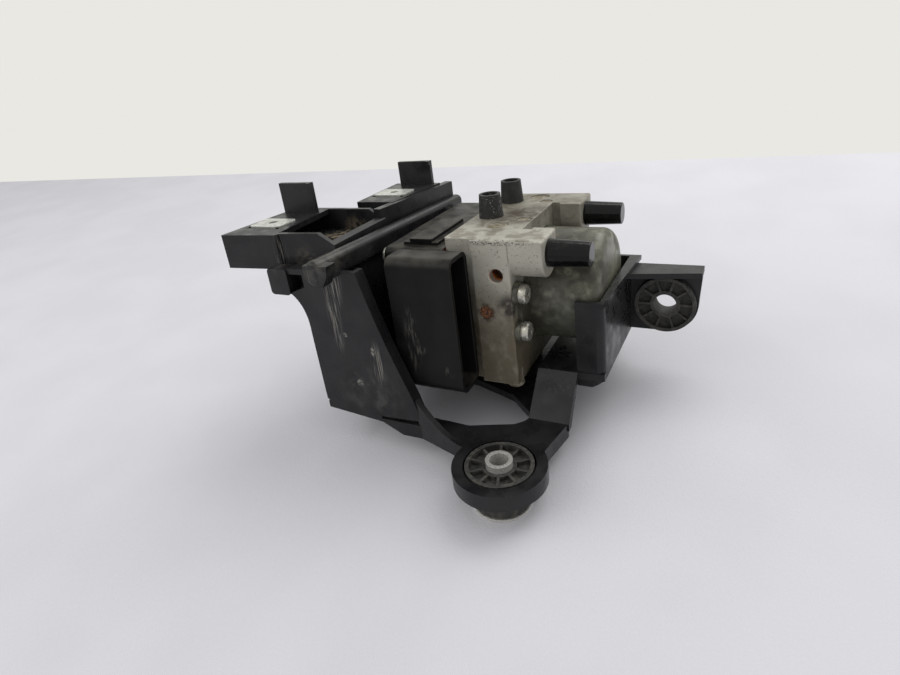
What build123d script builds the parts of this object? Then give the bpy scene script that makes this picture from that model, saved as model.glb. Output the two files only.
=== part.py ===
from build123d import *
from math import atan2, cos, degrees, hypot, radians, sin
import os

os.makedirs("parts", exist_ok=True)

# An anti-lock brake module in its moulded carrier, in millimetres. The origin is on
# the front isolator's axis, at the underside of its washer. +X runs from the control
# unit to the pump motor, +Y from the connector side to the back, +Z is up.

# %% Valve block
BLOCK_RIGHT = -6.0          # face that carries the motor
BLOCK_THICK = 35.0
BLOCK_FRONT = 45.0
BLOCK_WIDTH = 93.0
BLOCK_BOTTOM = 36.0
BLOCK_HEIGHT = 78.0
BLOCK_EDGE = 1.2            # broken edges of the machined block
SHOULDER_WIDTH = 15.0       # part of the thickness beside the control unit
SHOULDER_SETBACK = 3.5      # how far that part stands behind the front face

BLOCK_LEFT = BLOCK_RIGHT - BLOCK_THICK
BLOCK_BACK = BLOCK_FRONT + BLOCK_WIDTH
BLOCK_TOP = BLOCK_BOTTOM + BLOCK_HEIGHT
BLOCK_MID_X = (BLOCK_LEFT + BLOCK_RIGHT) / 2
BLOCK_MID_Y = (BLOCK_FRONT + BLOCK_BACK) / 2

# %% Ports
HORN_REACH = 16.5           # horns stand this far out over the motor
HORN_RADIUS = 11.9
HORN_NECK = 5.0             # thinner part of a horn beside the block
HORN_NECK_CUT = 3.0
PORT_DROP = 8.6             # port axes below the top face
PORT_RADIUS = 5.5
PORT_DEPTH = 14.0
MASTER_CAP_RADIUS = 6.9
MASTER_CAP_LENGTH = 20.5
WHEEL_CAP_RADIUS = 6.7
WHEEL_CAP_LENGTH = 12.5
WHEEL_PORT_INSET = 25.6      # from the face that carries the motor
WHEEL_PORT_REACHES = (43.0, 75.0)   # from the front face
CAP_WALL = 1.6
CAP_DRAFT = 0.9             # how much thinner a cap is at its free end
CAP_SPIGOT = 7.0

PORT_Z = BLOCK_TOP - PORT_DROP
WHEEL_PORT_X = BLOCK_RIGHT - WHEEL_PORT_INSET
WHEEL_PORT_YS = [BLOCK_FRONT + reach for reach in WHEEL_PORT_REACHES]
FRONT_PORT_Y = BLOCK_FRONT + HORN_RADIUS
REAR_PORT_Y = BLOCK_BACK - HORN_RADIUS
HORN_END = BLOCK_RIGHT + HORN_REACH

# %% Plugs and screw holes of the block
TOP_PLUGS = ((15.8, 27.0, 5.6), (12.0, 85.0, 5.4), (5.5, 39.0, 3.6), (5.0, 75.0, 3.2))
PLUG_THICK = 4.0
PLUG_SINK = 0.8             # plugs lie this far below the face
STAKE_GAP = 0.7             # staked groove round a plug
FIX_HOLE_INSET = 7.2
FIX_HOLE_DROP = 17.7
FIX_HOLE_RADIUS = 3.4       # tapping size for M8
FIX_HOLE_DEPTH = 14.0
FIX_HOLE_CHAMFER = 0.6
DRAIN_PLUG_INSET = 3.5
DRAIN_PLUG_REACH = 6.0      # from the front face
DRAIN_PLUG_RADIUS = 4.3
DRAIN_PLUG_HEAD = 2.6
STUD_RADIUS = 4.0           # studs that stand the block on its isolators
STUD_SPACING = 28.0
STUD_BITE = 10.0

FIX_HOLE_X = BLOCK_RIGHT - FIX_HOLE_INSET
FIX_HOLE_Z = BLOCK_TOP - FIX_HOLE_DROP
DRAIN_PLUG_X = BLOCK_RIGHT - DRAIN_PLUG_INSET
DRAIN_PLUG_Y = BLOCK_FRONT + DRAIN_PLUG_REACH
STAKED_PLUGS = [(BLOCK_RIGHT - inset, BLOCK_FRONT + reach, radius) for inset, reach, radius in TOP_PLUGS]
STUD_PLACES = [(BLOCK_MID_X, BLOCK_MID_Y + side * STUD_SPACING / 2) for side in (-1, 1)]

# %% Motor
MOTOR_DROP = 37.6           # motor axis below the block's top
MOTOR_RADIUS = 30.0
MOTOR_LENGTH = 35.5         # from the flange plate to the closed end
MOTOR_WALL = 2.2
MOTOR_END_ROUND = 6.0
FLANGE_THICK = 2.5
FLANGE_LIP = 1.0            # flange plate is this much wider than the can
EAR_REACH = 40.0            # screws from the motor axis, sideways
EAR_RISE = 10.3             # and up and down
EAR_RADIUS = 6.2
EAR_CENTRE_DROP = 1.4       # the screw pairs sit a little below the axis
SCREW_RADIUS = 2.5
SCREW_HEAD_RADIUS = 5.0
SCREW_HEAD_HEIGHT = 3.8
SCREW_GRIP = 12.0
DRIVE_RADIUS = 1.8          # star socket in the heads
DRIVE_DEPTH = 2.0

MOTOR_Y = BLOCK_MID_Y
MOTOR_Z = BLOCK_TOP - MOTOR_DROP
FLANGE_FACE = BLOCK_RIGHT + FLANGE_THICK
MOTOR_END = FLANGE_FACE + MOTOR_LENGTH
CAN_INSIDE = MOTOR_RADIUS - MOTOR_WALL
MOTOR_SCREWS = [
    (MOTOR_Y + side * EAR_REACH, MOTOR_Z - EAR_CENTRE_DROP + rise * EAR_RISE)
    for side in (-1, 1)
    for rise in (-1, 1)
]

# %% Rotor and pump
RUN_FIT = 0.05              # radial play of running parts
SHAFT_RADIUS = 4.0
ECCENTRIC_OFFSET = 1.5
ECCENTRIC_RADIUS = 5.6
ECCENTRIC_LENGTH = 8.0
RING_WALL = 2.2             # needle ring on the eccentric
PUMP_INSET = 14.2           # pump bores from the face that carries the motor
PUMP_BORE_RADIUS = 3.6
PUMP_PLUG_THICK = 5.0
PUMP_PISTON_LENGTH = 14.0
PISTON_CLEAR = 0.3          # pistons stop this far outside the ring's sweep
CHAMBER_RADIUS = 10.6
CHAMBER_DEPTH = 22.0
BEARING_RADIUS = 11.0
BEARING_WIDTH = 7.0
REAR_BUSH_RADIUS = 7.0
REAR_BUSH_LENGTH = 5.0
AIR_GAP = 1.3               # between the magnets and the armature core
CORE_LENGTH = 13.5
CORE_START = 6.5            # from the flange face
CORE_SLOTS = 9
WINDING_DROP = 5.5          # windings' rim inside the core's rim
WINDING_LENGTH = 2.5
COMMUTATOR_RADIUS = 7.0
MAGNET_WALL = 5.0
MAGNET_ARC = 130.0
BRUSH_PLATE_THICK = 1.5
BRUSH_SIZE = 4.0
BRUSH_LENGTH = 9.0
SPRING_WIRE = 0.45

SLOT_DEEP = 12.0
SLOT_WIDE = 2.4
BAR_GAP = 0.6
BRUSH_WIDTH = 2.0
PUMP_SPRING_TURNS = 7
ACCUMULATOR_TURNS = 3
SPRING_END_GAP = 0.3
SPRING_SIDE_GAP = 0.2

PUMP_X = BLOCK_RIGHT - PUMP_INSET
CORE_RADIUS = CAN_INSIDE - MAGNET_WALL - AIR_GAP
WINDING_RADIUS = CORE_RADIUS - WINDING_DROP
SHAFT_LEFT = PUMP_X - ECCENTRIC_LENGTH / 2 - RUN_FIT
SHAFT_RIGHT = MOTOR_END - MOTOR_WALL - PISTON_CLEAR
COMMUTATOR_LEFT = FLANGE_FACE + PISTON_CLEAR
RING_RADIUS = ECCENTRIC_RADIUS + RING_WALL
RING_SWEEP = RING_RADIUS + ECCENTRIC_OFFSET
CORE_LEFT = FLANGE_FACE + CORE_START

# %% Accumulators
ACCUMULATOR_RADIUS = 9.0
ACCUMULATOR_DEPTH = 25.0
ACCUMULATOR_INSET = 13.5    # from the block's ends
ACCUMULATOR_CAP = 3.5
ACCUMULATOR_PISTON = 8.0
ACCUMULATOR_TOP_GAP = 1.0
ACCUMULATOR_WIRE = 0.9

ACCUMULATOR_YS = (BLOCK_FRONT + ACCUMULATOR_INSET, BLOCK_BACK - ACCUMULATOR_INSET)

# %% Valves and coils
VALVE_REACHES = (14.0, 30.5)    # valve columns from the motor axis, both sides
VALVE_RISES = (-6.4, 19.1)      # valve rows from the motor axis
VALVE_BODY_RADIUS = 6.4
VALVE_BODY_DEPTH = 12.5
VALVE_DOME_RADIUS = 3.4
COIL_RADIUS = 8.0
COIL_FOOT = 2.5             # coils start this far from the block
COIL_LENGTH = 15.0
COIL_FIT = 0.2
VALVE_DOME_SHORT = 1.0      # the dome ends this far inside its coil
SENSOR_RADIUS = 5.7
SENSOR_DEPTH = 8.0
CONTACT_ROD_RADIUS = 2.6
CONTACT_ROD_DROP = 20.0     # below the motor axis

VALVE_ZS = [MOTOR_Z + rise for rise in VALVE_RISES]
VALVE_YS = [MOTOR_Y + side * reach for side in (-1, 1) for reach in VALVE_REACHES]
COIL_END = BLOCK_LEFT - COIL_FOOT - COIL_LENGTH

# %% Control unit
ECU_THICK = 32.0
ECU_OVERHANG = 1.0          # past the block's front and back faces
ECU_LIFT = 2.5              # underside above the block's
ECU_DROP = 5.0              # top below the block's
ECU_WALL = 2.5
ECU_CORNER = 4.0
PARTITION = 1.6             # wall between the coils and the circuit board
COVER_THICK = 2.4
BOSS_RADIUS = 4.6
BOSS_INSET = 6.0
ECU_SCREW_RADIUS = 2.2
ECU_SCREW_BITE = 8.0
BOARD_THICK = 1.6
BOARD_MARGIN = 3.0
BOARD_POST = 4.0
SEAL_THICK = 1.0

ECU_FRONT = BLOCK_FRONT - ECU_OVERHANG
ECU_BACK = BLOCK_BACK + ECU_OVERHANG
ECU_BOTTOM = BLOCK_BOTTOM + ECU_LIFT
ECU_TOP = BLOCK_TOP - ECU_DROP
ECU_RIGHT = BLOCK_LEFT
ECU_LEFT = ECU_RIGHT - ECU_THICK
ECU_MID_Y = (ECU_FRONT + ECU_BACK) / 2
ECU_MID_Z = (ECU_BOTTOM + ECU_TOP) / 2
ECU_WIDTH = ECU_BACK - ECU_FRONT
ECU_HEIGHT = ECU_TOP - ECU_BOTTOM
ECU_SCREWS = [
    (ECU_MID_Y + side * (ECU_WIDTH / 2 - BOSS_INSET), ECU_MID_Z + rise * (ECU_HEIGHT / 2 - BOSS_INSET))
    for side in (-1, 1)
    for rise in (-1, 1)
]

ECU_SCREW_CORNERS = [
    (ECU_MID_Y + side * (ECU_WIDTH / 2 - ECU_WALL), ECU_MID_Z + rise * (ECU_HEIGHT / 2 - ECU_WALL))
    for side in (-1, 1)
    for rise in (-1, 1)
]
BOARD_ROOM = COIL_END - PARTITION - ECU_LEFT
BOARD_FACE = COIL_END - PARTITION - BOARD_POST
BOARD_POSTS = [
    (ECU_MID_Y + side * ECU_WIDTH / 4, ECU_MID_Z + rise * ECU_HEIGHT / 4)
    for side in (-1, 1)
    for rise in (-1, 1)
]
SEAL_INLINE = (ECU_WIDTH - ECU_WALL, ECU_HEIGHT - ECU_WALL)
SEAL_OUTLINE = (SEAL_INLINE[0] + SEAL_THICK, SEAL_INLINE[1] + SEAL_THICK)
SEAL_CORNER = ECU_CORNER - SEAL_THICK
LEVER_STEPS = ((7.0, 20.0), (11.0, 13.0))   # from the unit's left face, and how wide
LEVER_STEP = 1.8
LEVER_SHIFT = 3.0
LEVER_LENGTH = 44.0
LEVER_REACH = 28.0          # lever's middle behind the unit's front

# %% Connector shroud, on the front of the control unit
SHROUD_INSET = 10.0          # from the unit's left face
SHROUD_LENGTH = 35.6
SHROUD_DEPTH = 19.4
SHROUD_SAG = 0.4            # below the unit's underside
SHROUD_HEIGHT = 72.2
SHROUD_WALL = 2.2
SHROUD_CORNER = 5.0
SHROUD_FLOOR = 7.0
PIN_ROWS = 2
PINS_PER_ROW = 16
PIN_PITCH = 3.4
PIN_ROW_PITCH = 6.0
PIN_SIZE = 0.9
PIN_LENGTH = 10.0

SHROUD_LEFT = ECU_LEFT + SHROUD_INSET
SHROUD_BOTTOM = ECU_BOTTOM - SHROUD_SAG
SHROUD_BACK = ECU_FRONT
SHROUD_MID_Y = SHROUD_BACK - SHROUD_DEPTH / 2
SHROUD_MID_Z = SHROUD_BOTTOM + SHROUD_HEIGHT / 2

# %% Front isolator, at the origin
SLEEVE_RADIUS = 6.4
SLEEVE_BORE = 4.5
SLEEVE_LENGTH = 24.5
WASHER_RADIUS = 14.2
WASHER_THICK = 1.6
RUBBER_RADIUS = 16.2
RUBBER_NECK = 12.0          # where the rubber passes through the carrier
RUBBER_FLANGE = 3.6
RUBBER_FOOT_RADIUS = 13.4
RUBBER_SPOKES = 10
SPOKE_WIDTH = 1.1
SPOKE_DROP = 0.9            # spokes lie this far below the rubber's rim
POCKET_DEPTH = 2.6
POCKET_HUB = 8.0            # pockets reach from this radius
POCKET_RIM = 14.4           # to this one
SPOKE_LENGTH = 8.0
EYE_RADIUS = 22.4
EYE_RIM_GAP = 1.0           # between the rubber and the rim round it

# %% Carrier
BASE_TOP = 22.0
BASE_PLATE = 4.0
SKIRT_DEPTH = 8.0
WALL = 3.0
GUSSET_FRONT = 15.0
BACK_MARGIN = 8.0           # back gusset's rear face behind the block
BASE_LEFT = -109.0
BASE_RIGHT = 17.0

CARRIER_BACK = BLOCK_BACK + BACK_MARGIN
BASE_BOTTOM = BASE_TOP - SKIRT_DEPTH
EYE_WEB = BASE_TOP - RUBBER_FLANGE      # top of the web that the rubber grips
EYE_WEB_BOTTOM = BASE_TOP - RUBBER_FLANGE - WALL

SPOKE_MIDDLE = (POCKET_HUB + POCKET_RIM) / 2
PAD_RADIUS = 9.0
BASE_CORNER = 3.0
SKIRT_JOIN_X = -50.0        # where the front skirt leaves the gusset for the eye

# %% Right arm and side isolator
ARM_GAP = 3.4               # between the motor's end and the wall's outer face
ARM_MARGIN_FRONT = 3.5      # wall past the motor, at its front and back ends
ARM_MARGIN_BACK = 8.5
ARM_WALL_SPLAY = 1.6        # the wall drifts outwards by this much
ARM_WALL_THICK = 2.4
ARM_TOP = 79.8
ARM_BOTTOM = 33.0
ARM_FLANGE = 6.0
TAB_FRONT = 119.0
TAB_THICK = 5.0
TAB_RIGHT = 74.5
TAB_TOP = 77.2
TAB_LIP = 3.0
TAB_LIP_REACH = 13.5
SIDE_X = 55.6
SIDE_Z = 56.0
SIDE_BORE = 6.0

POST_WIDTH = 14.0
TROUGH_LEFT = 1.0           # trough under the motor
TROUGH_GAP = 5.4            # between the motor and the trough
RAMP_FRONT = 38.0
RAMP_GAP = 1.0              # ramp's end in front of the arm
ARM_END_LEFT = 27.0
ARM_BEVEL_LEFT = 26.0       # the arm's lower right edge is cut off from here
ARM_BEVEL_TOP = 38.0
BASE_FLARE = 5.0            # the base widens towards the ramp
POST_ROUND = 4.0            # rounded front corner of the arm's post

ARM_FRONT = MOTOR_Y - MOTOR_RADIUS - ARM_MARGIN_FRONT
ARM_END = MOTOR_Y + MOTOR_RADIUS + ARM_MARGIN_BACK
ARM_WALL_X = MOTOR_END + ARM_GAP
ARM_BACK_X = ARM_WALL_X + ARM_WALL_SPLAY
TROUGH_TOP = MOTOR_Z - MOTOR_RADIUS - TROUGH_GAP
RAMP_BACK = ARM_FRONT - RAMP_GAP
ARM_POINTS = (
    (ARM_WALL_X - POST_WIDTH, ARM_FRONT),
    (ARM_WALL_X, ARM_FRONT),
    (ARM_BACK_X, ARM_END),
    (ARM_END_LEFT, ARM_END),
    (ARM_END_LEFT, ARM_END - ARM_WALL_THICK),
    (ARM_BACK_X - ARM_WALL_THICK, ARM_END - ARM_WALL_THICK),
    (ARM_WALL_X - ARM_WALL_THICK, ARM_FRONT + ARM_WALL_THICK),
    (ARM_WALL_X - POST_WIDTH, ARM_FRONT + ARM_WALL_THICK),
)
POST_CORNER = (ARM_WALL_X, ARM_FRONT)
POST_CORNER_INSIDE = (ARM_WALL_X - ARM_WALL_THICK, ARM_FRONT + ARM_WALL_THICK)
FLANGE_POINTS = (
    (ARM_WALL_X - ARM_WALL_THICK, ARM_FRONT),
    (ARM_WALL_X, ARM_FRONT),
    (ARM_BACK_X + ARM_FLANGE - ARM_WALL_THICK, ARM_END),
    (ARM_BACK_X - ARM_WALL_THICK, ARM_END),
)
TAB_POINTS = (
    (ARM_BACK_X - ARM_WALL_THICK, SIDE_Z - RUBBER_RADIUS - EYE_RIM_GAP),
    (SIDE_X, SIDE_Z - RUBBER_RADIUS - EYE_RIM_GAP),
    (SIDE_X + RUBBER_RADIUS + EYE_RIM_GAP, SIDE_Z),
    (TAB_RIGHT, TAB_TOP),
    (ARM_BACK_X - ARM_WALL_THICK, TAB_TOP),
)
LIP_POINTS = (
    (ARM_BACK_X - ARM_WALL_THICK, TAB_FRONT + TAB_THICK),
    (ARM_BACK_X - ARM_WALL_THICK, TAB_FRONT - TAB_LIP_REACH),
    (TAB_RIGHT, TAB_FRONT - TAB_LIP_REACH / 2),
    (TAB_RIGHT, TAB_FRONT + TAB_THICK),
)
RAMP_POINTS = (
    (RAMP_FRONT, BASE_TOP - BASE_PLATE),
    (RAMP_FRONT, BASE_TOP),
    (RAMP_BACK, TROUGH_TOP),
    (RAMP_BACK + BASE_PLATE, TROUGH_TOP),
    (RAMP_BACK + BASE_PLATE, TROUGH_TOP - BASE_PLATE),
    (RAMP_BACK, TROUGH_TOP - BASE_PLATE),
    (RAMP_FRONT + BASE_PLATE, BASE_TOP - BASE_PLATE),
)
TROUGH_POINTS = (
    (TROUGH_LEFT, RAMP_BACK),
    (BASE_RIGHT + BASE_FLARE, RAMP_BACK),
    (ARM_WALL_X, ARM_FRONT),
    (ARM_BACK_X, ARM_END),
    (BASE_RIGHT + BASE_FLARE, CARRIER_BACK),
    (TROUGH_LEFT, CARRIER_BACK),
)
BASE_POINTS = (
    (SKIRT_JOIN_X, GUSSET_FRONT),
    (-EYE_RADIUS + 1.0, EYE_RADIUS / 4),
    (EYE_RADIUS - 1.0, EYE_RADIUS / 4),
    (BASE_RIGHT, GUSSET_FRONT),
    (BASE_RIGHT + BASE_FLARE, RAMP_FRONT + BASE_PLATE),
    (TROUGH_LEFT + WALL, RAMP_FRONT + BASE_PLATE),
    (TROUGH_LEFT + WALL, CARRIER_BACK),
    (BASE_LEFT, CARRIER_BACK),
    (BASE_LEFT, GUSSET_FRONT),
)
FLOOR_BOTTOM = ((-62.0, BASE_BOTTOM), (-74.0, 20.0), (BASE_LEFT, 23.3))
FLOOR_RISE = 1.0            # the web starts this far above the base's flat top
WINDOW_CORNER = 7.0
WINDOW_TIP = (4.0, 39.0)     # the window's right end
WINDOW_BEND = (-14.0, 56.0)   # corner behind the window's right end
WINDOW_POINTS = (
    (-92.0, 26.0),
    (-26.0, 23.0),
    (-4.0, 31.0),
    WINDOW_TIP,
    WINDOW_BEND,
    (-40.0, 66.0),
    (-92.0, 66.0),
)

SHELF_TOP = 106.0           # shelf that joins the tops of the gussets

# %% Gussets
GUSSET_RETURN = 7.0         # depth of the edge turned back along a gusset
GUSSET_ROLL = 4.5           # rounding of the front gusset's turned edge
GUSSET_BACK_LEAN = 0.15      # the back gusset's inner edge slopes more than the front one's
GUSSET_FOOT = ((-66.0, 21.0), (-104.0, 24.0), (-109.5, 29.0))
GUSSET_FLARE = ((-110.0, 70.0), (-110.3, 77.7), (-112.6, 85.3), (-118.5, 92.2))
GUSSET_CREST = ((-108.0, 96.0), (-108.0, SHELF_TOP))
GUSSET_INNER = (
    (-74.0, SHELF_TOP),
    (-67.5, 81.0),
    (-57.8, 51.9),
    (-51.2, 33.4),
    (SKIRT_JOIN_X + 1.0, BASE_TOP),
)
GUSSET_BACK_INNER = [(x - GUSSET_BACK_LEAN * (z - BASE_TOP), z) for x, z in GUSSET_INNER]
GUSSET_RETURN_EDGE = [(x - WALL, z) for x, z in GUSSET_INNER]
BACK_RETURN_EDGE = [(x - WALL, z) for x, z in GUSSET_BACK_INNER]
GUSSET_BEHIND = ((BASE_LEFT - WALL * 4, BASE_TOP), (BASE_LEFT - WALL * 4, SHELF_TOP))
SKIRT_RUN = hypot(BASE_POINTS[1][0] - SKIRT_JOIN_X, BASE_POINTS[1][1] - GUSSET_FRONT)
SKIRT_WALL_PLANE = Plane(
    origin=(SKIRT_JOIN_X, GUSSET_FRONT, 0),
    x_dir=(BASE_POINTS[1][0] - SKIRT_JOIN_X, BASE_POINTS[1][1] - GUSSET_FRONT, 0),
    z_dir=(BASE_POINTS[1][1] - GUSSET_FRONT, SKIRT_JOIN_X - BASE_POINTS[1][0], 0),
)
SKIRT_WALL_TOP = ((SKIRT_RUN, BASE_TOP), (SKIRT_RUN / 2, 25.0), (SKIRT_RUN / 5, 30.5), (-WALL / 2, 37.0))
SKIRT_WALL_FOOT = ((-WALL / 2, BASE_BOTTOM), (SKIRT_RUN, BASE_BOTTOM))

# %% Left holder
DECK_TOP = 122.0
DECK_DEPTH = 19.0
DECK_SKIN = 3.0
HOLDER_WALL = 2.6
TAB_WIDTH = 24.0
HOOK_THICK = 2.6
HOOK_HEIGHT = 17.5
RAIL_WIDTH = 8.0
RAIL_HEIGHT = 12.5
RAIL_ROUND = 3.4
RAIL_FALL = 4.0             # the rail's back end is this much lower
SHEET_CORNER = 2.0
FENCE_WIDTH = 5.0
FENCE_HEIGHT = 18.0
CLIP_LENGTH = 22.0
CLIP_WIDTH = 15.0
CLIP_THICK = 0.8
CLIP_COLLAR = 4.6
CLIP_BORE = 2.5
CLIP_COLLAR_HEIGHT = 5.0
CLIPS = ((-145.0, 41.0), (-106.5, 110.0))
TRAY_FLOOR = 110.0
RAIL_TOP = 116.0
TRAY_BACK = 75.0
CUP_PLACE = (-111.0, 46.0)
CUP_RADIUS = 10.5
HOOKS = ((-157.0, 64.5, HOOK_HEIGHT), (-115.5, 133.0, HOOK_HEIGHT - 2.5))
NOSE_THICK = 7.0
LUG_PLACE = (-124.0, 98.5)
LUG_FRONT = 14.0
LUG_DEPTH = 9.0
LUG_WIDTH = 13.0
LUG_HEIGHT = 14.5
RAIL_FRONT = (-91.8, 1.0, RAIL_TOP)
RAIL_BACK = (-86.0, CARRIER_BACK, RAIL_TOP - RAIL_FALL)
FENCE_FRONT = (-97.8, TRAY_BACK - HOLDER_WALL, DECK_TOP)
FENCE_BACK = (-88.5, CARRIER_BACK, DECK_TOP - 1.0)

LUG_RIB_POINTS = (
    (-130.0, 89.0),
    (-112.0, 89.0),
    (-112.0, DECK_TOP - DECK_DEPTH),
    (-130.0, DECK_TOP - DECK_DEPTH),
)
WEB_POINTS = (
    (RAIL_FRONT[0] + (RAIL_WIDTH - WALL) / 2, GUSSET_FRONT),
    (RAIL_FRONT[0] + (RAIL_WIDTH + WALL) / 2, GUSSET_FRONT),
    (RAIL_BACK[0] + (RAIL_WIDTH + WALL) / 2, CARRIER_BACK),
    (RAIL_BACK[0] + (RAIL_WIDTH - WALL) / 2, CARRIER_BACK),
)
TRAY_RIGHT = -92.0
TRAY_POINTS = (
    (-162.0, 18.0),
    (-126.0, 20.9),
    (-125.0, 23.3),
    (TRAY_RIGHT, 26.0),
    (TRAY_RIGHT, TRAY_BACK),
    (-139.0, TRAY_BACK),
    (-157.0, 67.0),
)
TRAY_SLOPE_POINTS = (
    (-101.0, DECK_TOP),
    (TRAY_RIGHT, RAIL_TOP),
    (TRAY_RIGHT, DECK_TOP),
)
DECK_POINTS = (
    (-162.0, 18.0),
    (-126.5, 20.9),
    (-130.0, TRAY_BACK),
    (-139.0, TRAY_BACK),
    (-157.0, 67.0),
)
NOSE_POINTS = (
    (-92.8, 114.0),
    (-93.3, 108.0),
    (-90.0, 103.3),
    (-83.0, 103.3),
    (-79.7, 108.4),
    (-78.6, 114.0),
)
REAR_DECK_POINTS = (
    (-120.0, 88.0),
    (-94.0, 88.0),
    (-88.0, 137.0),
    (-121.0, 137.0),
)
SHELF_POINTS = (
    (-118.0, GUSSET_FRONT),
    (-86.0, GUSSET_FRONT),
    (-82.0, CARRIER_BACK),
    (-98.0, CARRIER_BACK),
)


def beam_plane(front, back):
    """Sketch plane at a beam's back end, facing along the beam to its front end."""
    run = Vector(*front) - Vector(*back)
    return Plane(origin=back, x_dir=(1, 0, 0), z_dir=run), run.length


# %% Seams between the carrier's simple solids
SEAM_CLEAR = 2.0
SEAM_LEVELS = (BASE_TOP + 3 * SEAM_CLEAR, DECK_TOP - DECK_DEPTH)
SEAM_COLUMNS = (
    TRAY_RIGHT - SEAM_CLEAR,
    WINDOW_BEND[0] - SEAM_CLEAR,
    TROUGH_LEFT + WALL,
    ARM_BACK_X + SEAM_CLEAR / 4,
)
SEAM_DEPTHS = (
    WINDOW_POINTS[0][1] + SEAM_CLEAR / 2,
    WINDOW_TIP[1] - SEAM_CLEAR,
    WINDOW_POINTS[-1][1] + SEAM_CLEAR / 2,
    (TRAY_BACK + REAR_DECK_POINTS[0][1]) / 2,
    CARRIER_BACK - GUSSET_RETURN - SEAM_CLEAR / 4,
)

RAIL_PLANE, RAIL_LENGTH = beam_plane(RAIL_FRONT, RAIL_BACK)
FENCE_PLANE, FENCE_LENGTH = beam_plane(FENCE_FRONT, FENCE_BACK)


def facing_front(y):
    """Sketch plane at depth y: sketch x is X, sketch y is Z, and it faces -Y."""
    return Plane(origin=(0, y, 0), x_dir=(1, 0, 0), z_dir=(0, -1, 0))


def facing_right(x):
    """Sketch plane at x: sketch x is Y, sketch y is Z, and it faces +X."""
    return Plane(origin=(x, 0, 0), x_dir=(0, 1, 0), z_dir=(1, 0, 0))


def facing_up(z):
    """Sketch plane at height z, facing +Z."""
    return Plane.XY.offset(z)


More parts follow.
